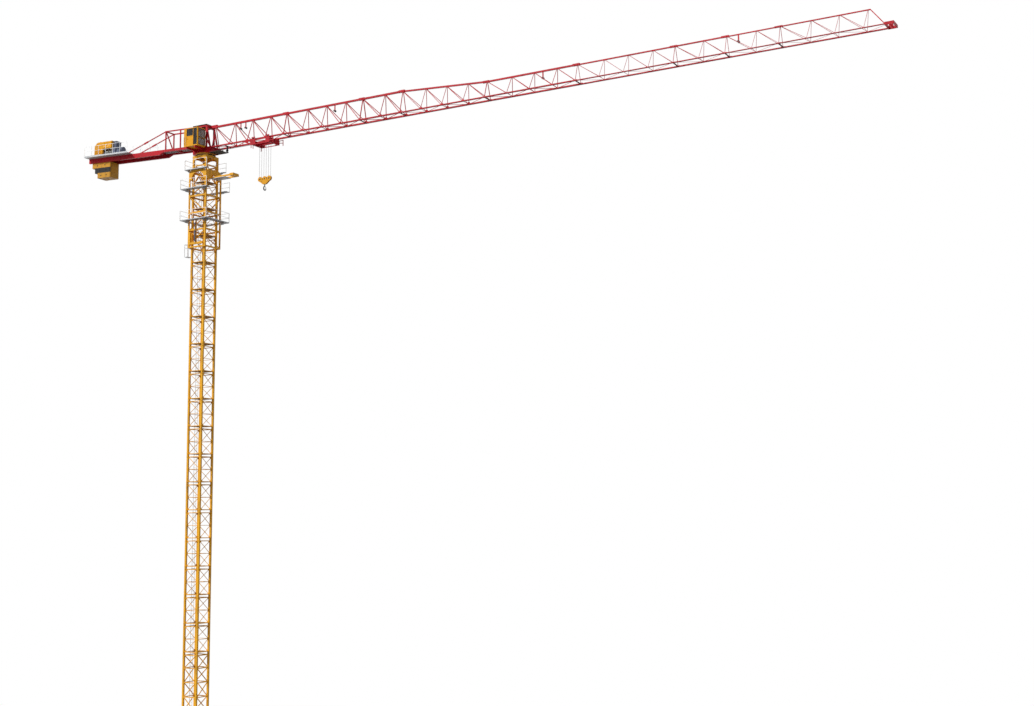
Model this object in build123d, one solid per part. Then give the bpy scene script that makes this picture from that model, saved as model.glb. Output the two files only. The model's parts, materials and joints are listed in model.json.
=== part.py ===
from build123d import *
import math
import os

# A flat-top tower crane at one tenth of its real size, in millimetres.
# The mast axis is Z and the base rests at z = 0. The jib points along +X, the cab is on the -Y side.

# Base frame
BASE_BEAM_WIDE = 40
BASE_BEAM_HIGH = 50
FOOT_SIDE = 90
FOOT_THICK = 8
ANCHOR_FAR = 190
ANCHOR_NEAR = 140
ANCHOR_RADIUS = 2.5

# Mast
MAST_WIDE = 200
LEG_SIDE = 20
BASE_TOP = 900
SECTION_HIGH = 300
SECTION_COUNT = 17
RING_PAIR_GAP = 33
RING_BAR = 9
MIDDLE_BAR = 6
MAST_DIAGONAL = 8
BRACE_THICK = 8
BRACE_INSET = 4
HEAVY_BAY = 150
HEAVY_BAR = 11

# Slewing seat and slewing platform
SEAT_HIGH = 325
SEAT_BOX_HIGH = 80
SEAT_WALL = 10
SEAT_PLATE = 12
SEAT_TIE_RISE = 200
SEAT_TIE = 14
SEAT_BRACE = 8
ARCH_RISE = 28
RING_RADIUS = 108
RING_BORE = 72
RING_THICK = 24
RING_PROUD = 12
BEARING_GAP = 0.3
TURNTABLE_RING = 15
PLATE_THICK = 12
PLATE_LONG = 280
PLATE_WIDE = 170
PLATE_CORNER = 30
WALKWAY_REACH = 150
WALKWAY_THICK = 5
WALKWAY_NEAR = 100
WALKWAY_FAR = 40
JOIST_DEEP = 9
JOIST_WIDE = 8
JOIST_LAP = 30

# Climbing cage
CAGE_WIDE = 250
CAGE_HIGH = 871
CAGE_RISE = 146
CAGE_LEG = 16
CAGE_BAR = 8
CAGE_THICK = 12
CAGE_BAYS = 5
CAGE_BAND = 100
CAGE_SHOULDER = 30
SHOE_WIDE = 14
SHOE_HIGH = 20
SHOE_GAP = 0.3
LOWER_PLATFORM_DROP = 566
MIDDLE_PLATFORM_DROP = 216
BOARD_WIDE = 65
UPPER_BOARD_WIDE = 35
BOARD_THICK = 4
BOARD_SEAM = 0.5
RAIL_HIGH = 110
RAIL_BAR = 3
INTRO_BEAM_DROP = 94
INTRO_BEAM_LONG = 315
INTRO_BEAM_GAUGE = 90
INTRO_BEAM_HIGH = 18
INTRO_BEAM_WIDE = 10
INTRO_BLOCK_LONG = 54
INTRO_BLOCK_HIGH = 28
TRAY_LONG = 200
TRAY_THICK = 4
YOKE_RISE = 43
YOKE_HIGH = 24
YOKE_PLATE_HIGH = 130
YOKE_PLATE_LONG = 24
CYLINDER_RADIUS = 9
CYLINDER_LONG = 240
STAGE_DROP = 96
STAGE_LONG = 66
STAGE_WIDE = 46
STAGE_BAR = 4
STAGE_LAP = 45

# Tower head
HEAD_FRONT = 130
HEAD_REAR = -130
HEAD_TOP_FRONT = 70
HEAD_HIGH = 308
HEAD_POST = 18
HEAD_SILL = 55
HEAD_BRACE = 14
HEAD_PLATE_WIDE = 150
HEAD_PLATE_THICK = 6

# Cab
CAB_RISE = 41
CAB_REAR = -128
CAB_LONG = 204
CAB_WIDE = 130
CAB_HIGH = 207
CAB_WALL = 4
CAB_GLASS = 2
CAB_FRAME = 10
CAB_PILLAR = 12
CAB_CHAMFER = 6
CAB_NEAR_JIB = 90
CAB_BEAM_HIGH = 22
CAB_BEAM_WIDE = 14
CAB_BEAM_INSET = 40
FRONT_WINDOW_LONG = 46
SIDE_WINDOW_LONG = 84
SIDE_WINDOW_HIGH = 74
TRANSOM_DROP = 105

# Jib
JIB_ROOT = 142
PANEL_LONG = 250
PANEL_COUNT = 29
DEEP_PANEL_COUNT = 10
TAPER_PANEL_COUNT = 4
JOINTS = (4, 8, 10, 14, 18, 22, 24, 26)
CHORD_RISE = 42
CHORD_GAUGE = 120
CHORD_SIDE = 14
RUNWAY_WIDE = 8
RUNWAY_THICK = 3
JIB_DEEP = 238
JIB_SHALLOW = 172
TOP_CHORD_SIDE = 16
TOP_NODE_SHIFT = 30
TOP_NODE_APART = 10
JIB_BAR = 7
JIB_BAR_THICK = 5
SLEEVE_LONG = 44
SLEEVE_WIDE = 22
SLEEVE_RISE = 4
ROOT_SLEEVE_LONG = 96
ROOT_SLEEVE_HIGH = 34
LACING_BAR = 5
LACING_THICK = 4
TIP_PANEL_LONG = 178
TIP_FRAME_LONG = 80
TIP_FRAME_HIGH = 26
TIP_PLATE = 8
TIP_STAY = 8
TIP_PULLEY_RADIUS = 20
TIP_PULLEY_WIDE = 8
ROPE_SUPPORT_PLACES = (500, 570, 1778, 4265, 6253)
ROPE_SUPPORT_DROP = 62
ROPE_SUPPORT_THICK = 6
ROPE_SUPPORT_WIDE = 12
ROPE_ROLLER_RADIUS = 8
ROPE_ROLLER_LONG = 24
ROUND_SIDES = 12

# Counter-jib
TILT = 2.4
COUNTER_JIB_LONG = 1590
GIRDER_RISE = 88
GIRDER_DEEP = 53
GIRDER_SHALLOW = 26
GIRDER_STEP = 490
GIRDER_STEP_LONG = 60
GIRDER_INNER = 59
GIRDER_WIDE = 22
CROSS_BEAM_PITCH = 265
CROSS_BEAM_LONG = 16
CROSS_BEAM_DEEP = 20
REAR_POST_REACH = 410
MIDDLE_POST_REACH = 190
REAR_HIGH = 212
REAR_BAR = 13
REAR_THICK = 10
PORTAL_BAR = 9
TIE_REACH = 1006
TIE_FOOT_RISE = 14
TIE_BAR = 8
TIE_LINK_LONG = 60
DECK_AHEAD = 96
DECK_WIDE = 320
DECK_THICK = 6
TOE_BOARD = 18
TOE_BOARD_THICK = 3
WALK_GAP = 2
DECK_POSTS = 6
BALLAST_TAIL = 37
BALLAST_LONG = 295
BALLAST_STEP = 42
BALLAST_HIGH = 60
BALLAST_WIDE = 140
BALLAST_ROUND = 8

# Hoist: drum, gearbox and motor in line along the deck
HOIST_BEHIND = 228
HOIST_WIDE = 110
SKID_HIGH = 18
SKID_BAR = 14
GEARBOX_LONG = 44
GEARBOX_WIDE = 96
GEARBOX_HIGH = 89
DRUM_GAP = 6
DRUM_HEIGHT = 48
DRUM_RADIUS = 32
DRUM_FLANGE = 38
DRUM_FLANGE_THICK = 5
DRUM_LONG = 122
DRUM_SHAFT = 6
STAND_THICK = 6
STAND_WIDE = 90
MOTOR_HEIGHT = 64
MOTOR_RADIUS = 36
MOTOR_LONG = 75
MOTOR_CAP = 30
MOTOR_CAP_LONG = 8
MOTOR_FOOT = 40
COVER_GAP = 6
COVER_LONG = 268
COVER_HIGH = 190
COVER_WIDE = 130
COVER_SLOPE = 42
COVER_EDGE = 8
HOOD_GAP = 4
RESISTOR_WIDE = 76
RESISTOR_HIGH = 80
RESISTOR_EDGE = 5

# Trolley
TROLLEY_PLACE = 847
TROLLEY_LONG = 250
TROLLEY_CLEAR = 6
TROLLEY_PLATE = 6
TROLLEY_DROP = 66
TROLLEY_RISE = 19
TROLLEY_BEAM = 16
TROLLEY_RIB = 8
TROLLEY_WINDOW = 140
EAR_LONG = 44
BRACKET_LONG = 50
BRACKET_DROP = 66
BRACKET_BAR = 6
WHEEL_RADIUS = 9
WHEEL_WIDE = 8
WHEEL_SIDE_GAP = 2
WHEEL_GAP = 0.3
WHEEL_BASE = 196
AXLE_RADIUS = 3
ROPE_RADIUS = 1.2
FALL_PITCH = 31
FALL_COUNT = 6
SHEAVE_DROP = 52
SHEAVE_WIDE = 6
SHEAVE_GAP = 0.3
SHEAVE_CHEEK_GAP = 3
SHEAVE_CHEEK = 3
BASKET_LONG = 120
BASKET_FLOOR = 4
BASKET_POST = 5
BASKET_POST_LONG = 38

# Hook block and hook
HOIST_DROP = 387
BLOCK_HUMP = 27
BLOCK_SHOULDER = 12
BLOCK_INSET = 4
BLOCK_FOOT = 44
BLOCK_DROP = 60
BLOCK_CHEEK = 4
CROSSHEAD_HIGH = 16
CROSSHEAD_LONG = 34
SWIVEL_GAP = 0.05
SHANK_RADIUS = 4
NUT_RADIUS = 6
NUT_HIGH = 7
HOOK_BOWL = 13
HOOK_SECTION = 11
HOOK_DROP = 107
HOOK_MOUTH = 60


def block(xs, ys, zs):
    """A box that fills the spans xs, ys and zs."""
    spans = (xs, ys, zs)
    size = [high - low for low, high in spans]
    centre = [(low + high) / 2 for low, high in spans]
    return Pos(*centre) * Box(*size)


def around(middle, wide):
    """The span of a given width round a middle value."""
    return middle - wide / 2, middle + wide / 2


def strip(start, end, wide):
    """A flat bar of a drawing, from start to end."""
    run = Vector(*end) - Vector(*start)
    middle = (Vector(*start) + Vector(*end)) / 2
    turn = math.degrees(math.atan2(run.Y, run.X))
    return Pos(middle.X, middle.Y) * Rot(0, 0, turn) * Rectangle(run.length, wide)


def outline(*points):
    """A flat face with straight edges through the points."""
    return make_face(Polyline(*points, close=True))


def side_view(drawing, y_low, y_high):
    """The solid of a drawing in X and Z, between two values of y."""
    plane = Plane((0, y_high, 0), x_dir=(1, 0, 0), z_dir=(0, -1, 0))
    return extrude(plane * drawing, amount=y_high - y_low)


def end_view(drawing, x_low, x_high):
    """The solid of a drawing in Y and Z, between two values of x."""
    plane = Plane((x_low, 0, 0), x_dir=(0, 1, 0), z_dir=(1, 0, 0))
    return extrude(plane * drawing, amount=x_high - x_low)


def beam(start, end, wide, deep):
    """A straight bar between two points, wide across and deep upwards."""
    run = Vector(*end) - Vector(*start)
    across = Vector(0, 0, 1).cross(run)
    plane = Plane(start, x_dir=across, z_dir=run)
    return extrude(plane * Rectangle(wide, deep), amount=run.length)


def both_sides(part):
    """A piece on the -Y side and its mirror image on the +Y side."""
    return [part, mirror(part, about=Plane.XZ)]


def drum(radius, long, x, y, z):
    """A round bar along Y, centred on a point."""
    return Pos(x, y, z) * Rot(90, 0, 0) * Cylinder(radius, long)


def pin(radius, long, x, y, z):
    """A bar of few sides along Y, centred on a point."""
    return side_view(Pos(x, z) * RegularPolygon(radius, ROUND_SIDES), *around(y, long))


def four_faces(part):
    """A piece on the -Y face of the mast, turned to the other three faces as well."""
    return [Rot(0, 0, turn) * part for turn in (0, 90, 180, 270)]


FACES = ("right", "front", "left", "rear")
MAST_TOP = BASE_TOP + SECTION_COUNT * SECTION_HIGH
MAST_HALF = MAST_WIDE / 2
BAY_HALF = MAST_HALF - LEG_SIDE
MAST_LEG_MIDDLE = MAST_HALF - LEG_SIDE / 2


# Base frame: crossed beams under the legs, with an anchored foot plate at each end
def base_frame():
    reach = (ANCHOR_FAR + ANCHOR_NEAR) / 2
    cross = Box(math.hypot(reach, reach) * 2, BASE_BEAM_WIDE, BASE_BEAM_HIGH)
    cross = Pos(0, 0, BASE_BEAM_HIGH / 2) * cross
    frame = Rot(0, 0, 45) * cross + Rot(0, 0, -45) * cross
    for x in (-reach, reach):
        for y in (-reach, reach):
            frame += Pos(x, y, FOOT_THICK / 2) * Box(FOOT_SIDE, FOOT_SIDE, FOOT_THICK)
    for far, near in ((ANCHOR_FAR, ANCHOR_NEAR), (ANCHOR_NEAR, ANCHOR_FAR)):
        for x in (-far, far):
            for y in (-near, near):
                frame -= Pos(x, y, FOOT_THICK / 2) * Cylinder(ANCHOR_RADIUS, FOOT_THICK)
    return frame


# Mast: four legs, and on each face a stack of braced section panels over the heavier base panels
def corner_posts(low, high):
    post = Pos(0, 0, (low + high) / 2) * Box(LEG_SIDE, LEG_SIDE, high - low)
    middle = MAST_LEG_MIDDLE
    return [Pos(x, y, 0) * post for x in (-middle, middle) for y in (-middle, middle)]


def mast_legs():
    return corner_posts(BASE_BEAM_HIGH, MAST_TOP)


def section_panel():
    low = RING_PAIR_GAP / 2
    high = SECTION_HIGH - RING_PAIR_GAP / 2
    middle = SECTION_HIGH / 2
    bars = Sketch() + [
        strip((-BAY_HALF, low), (BAY_HALF, low), RING_BAR),
        strip((-BAY_HALF, middle), (BAY_HALF, middle), MIDDLE_BAR),
        strip((-BAY_HALF, high), (BAY_HALF, high), RING_BAR),
        strip((-BAY_HALF, low), (BAY_HALF, middle), MAST_DIAGONAL),
        strip((BAY_HALF, middle), (-BAY_HALF, high), MAST_DIAGONAL),
    ]
    return bars & Pos(0, middle) * Rectangle(2 * BAY_HALF, high - low + RING_BAR)


def heavy_panel():
    top = BASE_TOP - RING_PAIR_GAP / 2
    foot = BASE_BEAM_HIGH + HEAVY_BAR / 2
    levels = [top]
    level = BASE_TOP - HEAVY_BAY
    while level - foot > HEAVY_BAY / 2:
        levels.append(level)
        level -= HEAVY_BAY
    levels.append(foot)
    bars = [strip((-BAY_HALF, level), (BAY_HALF, level), HEAVY_BAR) for level in levels]
    side = BAY_HALF
    for upper, lower in zip(levels, levels[1:]):
        bars.append(strip((side, upper), (-side, lower), HEAVY_BAR))
        side = -side
    frame = Pos(0, (top + foot) / 2) * Rectangle(2 * BAY_HALF, top - foot + HEAVY_BAR)
    return (Sketch() + bars) & frame


def mast_bracing():
    outer = -MAST_HALF + BRACE_INSET
    panel = side_view(section_panel(), outer, outer + BRACE_THICK)
    heavy = side_view(heavy_panel(), outer, outer + BRACE_THICK)
    stack = [Pos(0, 0, BASE_TOP + SECTION_HIGH * count) * panel for count in range(SECTION_COUNT)]
    return Compound(children=[heavy] + stack)


# Slewing seat: corner posts that end in a box with arched walls, under the lower bearing ring
SEAT_TOP = MAST_TOP + SEAT_HIGH
SEAT_BOX_TOP = SEAT_TOP - RING_PROUD
SEAT_BOX_LOW = SEAT_BOX_TOP - SEAT_BOX_HIGH


def arch():
    """The round underside of a seat wall, as a circle through both posts and the crown."""
    radius = (BAY_HALF ** 2 + ARCH_RISE ** 2) / (2 * ARCH_RISE)
    return Pos(0, SEAT_BOX_LOW + ARCH_RISE - radius) * Circle(radius)


def seat_wall():
    wall = Pos(0, (SEAT_BOX_LOW + SEAT_BOX_TOP) / 2) * Rectangle(2 * BAY_HALF, SEAT_BOX_HIGH)
    return side_view(wall - arch(), -MAST_HALF, -MAST_HALF + SEAT_WALL)


def seat_bracing():
    tie = MAST_TOP + SEAT_TIE_RISE
    drawing = Sketch() + [
        strip((-BAY_HALF, tie), (BAY_HALF, tie), SEAT_TIE),
        strip((-BAY_HALF, MAST_TOP), (BAY_HALF, tie), SEAT_BRACE),
        strip((BAY_HALF, MAST_TOP), (-BAY_HALF, tie), SEAT_BRACE),
    ]
    high = SEAT_TIE_RISE + SEAT_TIE / 2
    drawing = drawing & Pos(0, MAST_TOP + high / 2) * Rectangle(2 * BAY_HALF, high)
    outer = -MAST_HALF + BRACE_INSET
    return side_view(drawing, outer, outer + BRACE_THICK)


def slewing_seat():
    seat = Part() + corner_posts(MAST_TOP, SEAT_BOX_TOP)
    seat += four_faces(seat_wall()) + four_faces(seat_bracing())
    plate = Box(MAST_WIDE, MAST_WIDE, SEAT_PLATE) - Cylinder(RING_BORE, SEAT_PLATE)
    ring = Cylinder(RING_RADIUS, RING_THICK) - Cylinder(RING_BORE, RING_THICK)
    seat += Pos(0, 0, SEAT_BOX_TOP - SEAT_PLATE / 2) * plate
    return seat + Pos(0, 0, SEAT_TOP - RING_THICK / 2) * ring


TURNTABLE_LOW = SEAT_TOP + BEARING_GAP
PLATE_LOW = TURNTABLE_LOW + TURNTABLE_RING
HEAD_LOW = PLATE_LOW + PLATE_THICK


def slewing_platform():
    ring = Cylinder(RING_RADIUS, TURNTABLE_RING) - Cylinder(RING_BORE, TURNTABLE_RING)
    plate = Box(PLATE_LONG, PLATE_WIDE, PLATE_THICK)
    plate = chamfer(plate.edges().filter_by(Axis.Z), PLATE_CORNER) - Cylinder(RING_BORE, PLATE_THICK)
    ring = Pos(0, 0, TURNTABLE_LOW + TURNTABLE_RING / 2) * ring
    return ring + Pos(0, 0, PLATE_LOW + PLATE_THICK / 2) * plate


def front_walkway():
    """A walkway in front of the turntable, on two joists under the slewing platform."""
    rear = PLATE_LONG / 2
    front = rear + WALKWAY_REACH
    low = PLATE_LOW - JOIST_DEEP
    walkway = block((rear, front), (-WALKWAY_NEAR, WALKWAY_FAR), (low - WALKWAY_THICK, low))
    inset = PLATE_WIDE / 2 - PLATE_CORNER - JOIST_WIDE
    for y in (-inset, inset - JOIST_WIDE):
        walkway += block((rear - JOIST_LAP, front), (y, y + JOIST_WIDE), (low, PLATE_LOW))
    return walkway


# Climbing cage: four laced sides round the mast, which slide on its legs with guide shoes
CAGE_TOP = MAST_TOP + CAGE_RISE
CAGE_LOW = CAGE_TOP - CAGE_HIGH
CAGE_HALF = CAGE_WIDE / 2
CAGE_INNER = CAGE_HALF - CAGE_THICK
BAND_LOW = CAGE_TOP - CAGE_BAND
LOWER_LEVEL = CAGE_TOP - LOWER_PLATFORM_DROP
MIDDLE_LEVEL = CAGE_TOP - MIDDLE_PLATFORM_DROP
UPPER_LEVEL = CAGE_TOP + BOARD_THICK


def cage_levels():
    """Heights of the cage's cross bars, from its foot to the bottom of its top band."""
    low = CAGE_LOW + CAGE_LEG / 2
    step = (BAND_LOW - low) / (CAGE_BAYS - 1)
    return [low + step * count for count in range(CAGE_BAYS)]


def cage_shoes():
    inner = -MAST_HALF - SHOE_GAP
    shoes = []
    for level in (cage_levels()[0], cage_levels()[-2]):
        for x in (-MAST_LEG_MIDDLE, MAST_LEG_MIDDLE):
            shoes.append(block(around(x, SHOE_WIDE), (-CAGE_INNER, inner), around(level, SHOE_HIGH)))
    return shoes


def cage_lacing(half, bays):
    levels = cage_levels()
    bars = [strip((-half, level), (half, level), CAGE_LEG) for level in levels]
    side = half
    for count in bays:
        bars.append(strip((-side, levels[count]), (side, levels[count + 1]), CAGE_BAR))
        side = -side
    frame = Pos(0, (CAGE_LOW + CAGE_TOP) / 2) * Rectangle(2 * half, CAGE_HIGH)
    return (Sketch() + bars) & frame


def cage_band(half):
    """The deep top band, with sloping shoulders."""
    return outline(
        (-half, BAND_LOW),
        (half, BAND_LOW),
        (half, CAGE_TOP - CAGE_SHOULDER),
        (half - CAGE_SHOULDER, CAGE_TOP),
        (CAGE_SHOULDER - half, CAGE_TOP),
        (-half, CAGE_TOP - CAGE_SHOULDER),
    )


def cage_side(half, bays, with_legs):
    drawing = cage_lacing(half, bays) + cage_band(half)
    drawing -= Pos(0, BAND_LOW) * Ellipse(half - 2 * CAGE_SHOULDER, CAGE_BAND / 2)
    if with_legs:
        for x in (-half + CAGE_LEG / 2, half - CAGE_LEG / 2):
            drawing += strip((x, CAGE_LOW), (x, BAND_LOW), CAGE_LEG)
    return side_view(drawing, -CAGE_HALF, -CAGE_INNER) + cage_shoes()


def platform(level, wide, with_front):
    """Walkway boards round the cage, open in front unless they make a full ring."""
    half = CAGE_HALF + wide
    heights = (level - BOARD_THICK, level)
    boards = both_sides(block((-half, half), (-half, -CAGE_HALF), heights))
    end = block((-half, -CAGE_HALF), (BOARD_SEAM - CAGE_HALF, CAGE_HALF - BOARD_SEAM), heights)
    boards.append(end)
    if with_front:
        boards.append(mirror(end, about=Plane.YZ))
    return boards


PLATFORMS = {
    "lower": (LOWER_LEVEL, BOARD_WIDE, True),
    "middle": (MIDDLE_LEVEL, BOARD_WIDE, False),
    "upper": (UPPER_LEVEL, UPPER_BOARD_WIDE, False),
}


def rail_panel(half, level):
    """A length of handrail in a side view, centred on the mast."""
    top = level + RAIL_HIGH
    middle = level + RAIL_HIGH / 2
    bars = [strip((-half, height), (half, height), RAIL_BAR) for height in (middle, top - RAIL_BAR / 2)]
    for x in (-half + RAIL_BAR / 2, 0, half - RAIL_BAR / 2):
        bars.append(strip((x, level), (x, top), RAIL_BAR))
    return Sketch() + bars


def platform_rails():
    rails = []
    for level, wide, with_front in PLATFORMS.values():
        half = CAGE_HALF + wide
        edge = (-half, -half + RAIL_BAR)
        rails += both_sides(side_view(rail_panel(half, level), *edge))
        end = end_view(rail_panel(half - RAIL_BAR - BOARD_SEAM, level), *edge)
        rails.append(end)
        if with_front:
            rails.append(mirror(end, about=Plane.YZ))
    return rails


INTRO_LEVEL = CAGE_TOP - INTRO_BEAM_DROP
INTRO_END = CAGE_HALF + INTRO_BEAM_LONG


def introduction_beam():
    low, high = around(INTRO_LEVEL, INTRO_BEAM_HIGH)
    gauge = INTRO_BEAM_GAUGE / 2
    rails = both_sides(block((CAGE_HALF, INTRO_END), around(-gauge, INTRO_BEAM_WIDE), (low, high)))
    ends = (INTRO_END - INTRO_BLOCK_LONG, INTRO_END)
    block_levels = (low, low + INTRO_BLOCK_HIGH)
    return Part() + rails + block(ends, (-gauge, gauge), block_levels)


def introduction_tray():
    """A light tray under the introduction beam, where the next mast section is landed."""
    half = INTRO_BEAM_GAUGE / 2 + INTRO_BEAM_WIDE
    low = INTRO_LEVEL - INTRO_BEAM_HIGH / 2
    return block((CAGE_HALF, CAGE_HALF + TRAY_LONG), (-half, half), (low - TRAY_THICK, low))


def climbing_yoke():
    outer = -CAGE_HALF
    level = CAGE_LOW + YOKE_RISE
    deep = (outer - 2 * CYLINDER_RADIUS, outer)
    yoke = block((-MAST_HALF, MAST_HALF), deep, around(level, YOKE_HIGH))
    top = level + YOKE_HIGH / 2
    ram = Pos(0, outer - CYLINDER_RADIUS, top + CYLINDER_LONG / 2) * Cylinder(CYLINDER_RADIUS, CYLINDER_LONG)
    plate = block((-MAST_HALF, YOKE_PLATE_LONG - MAST_HALF), deep, (level, level + YOKE_PLATE_HIGH))
    return yoke + ram + plate


def hanging_stage():
    """A small work stage under the cage's rear corner."""
    outer = -CAGE_HALF - STAGE_WIDE
    low = CAGE_LOW - STAGE_DROP
    ends = (-CAGE_HALF, STAGE_LONG - CAGE_HALF)
    stage = block((outer, -CAGE_HALF), ends, (low, low + STAGE_BAR))
    top = CAGE_LOW + STAGE_LAP
    for y in (ends[0], ends[1] - STAGE_BAR):
        sides = (y, y + STAGE_BAR)
        stage += block((outer, outer + STAGE_BAR), sides, (low, top))
        stage += block((-CAGE_HALF - STAGE_BAR, -CAGE_HALF), sides, (low, top))
        for level in (CAGE_LOW, top - STAGE_BAR):
            stage += block((outer, -CAGE_HALF), sides, (level, level + STAGE_BAR))
    return stage + block((outer, outer + STAGE_BAR), ends, (top - STAGE_BAR, top))


# Tower head: two braced side frames joined by cross beams
HEAD_TOP = HEAD_LOW + HEAD_HIGH
CHORD_LEVEL = HEAD_LOW + CHORD_RISE
SIDE_INNER = CHORD_GAUGE / 2 - CHORD_SIDE / 2
SIDE_OUTER = CHORD_GAUGE / 2 + CHORD_SIDE / 2


def tower_head():
    half = HEAD_POST / 2
    sill = HEAD_LOW + HEAD_SILL / 2
    top = HEAD_TOP - half
    rear = HEAD_REAR + half
    front = HEAD_TOP_FRONT - half
    foot = HEAD_FRONT - half
    drawing = Sketch() + [
        strip((HEAD_REAR, sill), (HEAD_FRONT, sill), HEAD_SILL),
        strip((HEAD_REAR, top), (HEAD_TOP_FRONT, top), HEAD_POST),
        strip((rear, HEAD_LOW), (rear, HEAD_TOP), HEAD_POST),
        strip((front, HEAD_LOW), (front, HEAD_TOP), HEAD_POST),
        strip((front, sill), (rear, top), HEAD_BRACE),
        strip((foot, sill), (front, top), HEAD_BRACE),
    ]
    head = Part() + both_sides(side_view(drawing, -SIDE_OUTER, -SIDE_INNER))
    across = (-SIDE_INNER, SIDE_INNER)
    for x in (rear, foot):
        head += block(around(x, HEAD_POST), across, (HEAD_LOW, HEAD_LOW + HEAD_SILL))
    for x in (rear, front):
        head += block(around(x, HEAD_POST), across, (HEAD_TOP - HEAD_POST, HEAD_TOP))
    chord = around(CHORD_LEVEL + JIB_DEEP, TOP_CHORD_SIDE)
    return head + block(around(front, HEAD_POST), across, chord)


def head_platform():
    half = HEAD_PLATE_WIDE / 2
    return block((HEAD_REAR, HEAD_TOP_FRONT), (-half, half), (HEAD_TOP, HEAD_TOP + HEAD_PLATE_THICK))


# Cab: a glazed shell on two beams that stand out from the tower head
CAB_FRONT = CAB_REAR + CAB_LONG
CAB_INNER_SIDE = -CAB_NEAR_JIB
CAB_OUTER_SIDE = -CAB_NEAR_JIB - CAB_WIDE
CAB_LOW = HEAD_LOW + CAB_RISE
CAB_TOP = CAB_LOW + CAB_HIGH


def cab_beams():
    beams = []
    for x in (CAB_REAR + CAB_BEAM_INSET, CAB_FRONT - CAB_BEAM_INSET):
        levels = (CAB_LOW - CAB_BEAM_HIGH, CAB_LOW)
        beams.append(block(around(x, CAB_BEAM_WIDE), (CAB_OUTER_SIDE, -SIDE_OUTER), levels))
    return beams


def cab_openings(deep):
    """The window openings of the cab, each cut to the given depth through its wall."""
    inset = CAB_WALL + CAB_FRAME
    top = CAB_TOP - inset
    low = CAB_LOW + inset
    transom = top - TRANSOM_DROP
    across = (CAB_OUTER_SIDE + inset, CAB_INNER_SIDE - inset)
    front = around(CAB_FRONT - CAB_WALL / 2, deep)
    rear = around(CAB_REAR + CAB_WALL / 2, deep)
    pane_front = CAB_FRONT - inset
    pane_rear = pane_front - FRONT_WINDOW_LONG
    window_front = pane_rear - CAB_PILLAR
    window_rear = window_front - SIDE_WINDOW_LONG
    sill = top - SIDE_WINDOW_HIGH
    windows = [
        block(front, across, (transom + CAB_FRAME, top)),
        block(front, across, (low, transom)),
        block(rear, across, (sill, top)),
    ]
    for y in (CAB_INNER_SIDE - CAB_WALL / 2, CAB_OUTER_SIDE + CAB_WALL / 2):
        wall = around(y, deep)
        windows.append(block((pane_rear, pane_front), wall, (low, top)))
        windows.append(block((window_rear, window_front), wall, (sill, top)))
    return windows


def cab_shell():
    outer = block((CAB_REAR, CAB_FRONT), (CAB_OUTER_SIDE, CAB_INNER_SIDE), (CAB_LOW, CAB_TOP))
    upright = outer.edges().filter_by(Axis.Z)
    upper = outer.faces().sort_by(Axis.Z)[-1].edges()
    outer = chamfer(upright + upper, CAB_CHAMFER)
    inner = block(
        (CAB_REAR + CAB_WALL, CAB_FRONT - CAB_WALL),
        (CAB_OUTER_SIDE + CAB_WALL, CAB_INNER_SIDE - CAB_WALL),
        (CAB_LOW + CAB_WALL, CAB_TOP - CAB_WALL),
    )
    inner = chamfer(inner.edges().filter_by(Axis.Z), CAB_CHAMFER)
    return outer - inner - cab_openings(2 * CAB_WALL)


def cab_glass():
    return cab_openings(CAB_GLASS)


# Jib: a triangular truss of one top chord and two bottom chords
TAPER_END = DEEP_PANEL_COUNT + TAPER_PANEL_COUNT
JIB_TIP = JIB_ROOT + PANEL_COUNT * PANEL_LONG + TIP_PANEL_LONG
CHORD_TOP = CHORD_LEVEL + CHORD_SIDE / 2
CHORD_BOTTOM = CHORD_LEVEL - CHORD_SIDE / 2


def bottom_node(count):
    return JIB_ROOT + PANEL_LONG * count


def top_node(count):
    shift = 0 if count == 0 or count in JOINTS else TOP_NODE_SHIFT
    return bottom_node(count) + shift


def top_level(x):
    """Height of the top chord's centre line at x."""
    first = bottom_node(DEEP_PANEL_COUNT)
    last = bottom_node(TAPER_END)
    share = min(max((x - first) / (last - first), 0), 1)
    return CHORD_LEVEL + JIB_DEEP + (JIB_SHALLOW - JIB_DEEP) * share


TOP_CHORD_END = top_node(PANEL_COUNT) + TOP_CHORD_SIDE


def top_chord():
    half = TOP_CHORD_SIDE / 2
    kinks = (HEAD_TOP_FRONT, bottom_node(DEEP_PANEL_COUNT), bottom_node(TAPER_END), TOP_CHORD_END)
    upper = [(x, top_level(x) + half) for x in kinks]
    lower = [(x, top_level(x) - half) for x in reversed(kinks)]
    chord = side_view(outline(*upper, *lower), -half, half)
    sleeve = Pos(0, 0, SLEEVE_RISE / 2) * Box(SLEEVE_LONG, SLEEVE_WIDE, TOP_CHORD_SIDE + SLEEVE_RISE)
    for count in JOINTS:
        x = bottom_node(count)
        chord += Pos(x, 0, top_level(x)) * sleeve
    root = (HEAD_TOP_FRONT, HEAD_TOP_FRONT + ROOT_SLEEVE_LONG)
    low = CHORD_LEVEL + JIB_DEEP - half
    return chord + block(root, around(0, SLEEVE_WIDE), (low, low + ROOT_SLEEVE_HIGH))


def bottom_chord():
    section = Pos(-CHORD_GAUGE / 2, CHORD_LEVEL) * Rectangle(CHORD_SIDE, CHORD_SIDE)
    runway = Rectangle(RUNWAY_WIDE, RUNWAY_THICK)
    runway = Pos(-SIDE_OUTER - RUNWAY_WIDE / 2, CHORD_BOTTOM + RUNWAY_THICK / 2) * runway
    return end_view(section + runway, HEAD_FRONT, JIB_TIP)


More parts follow.
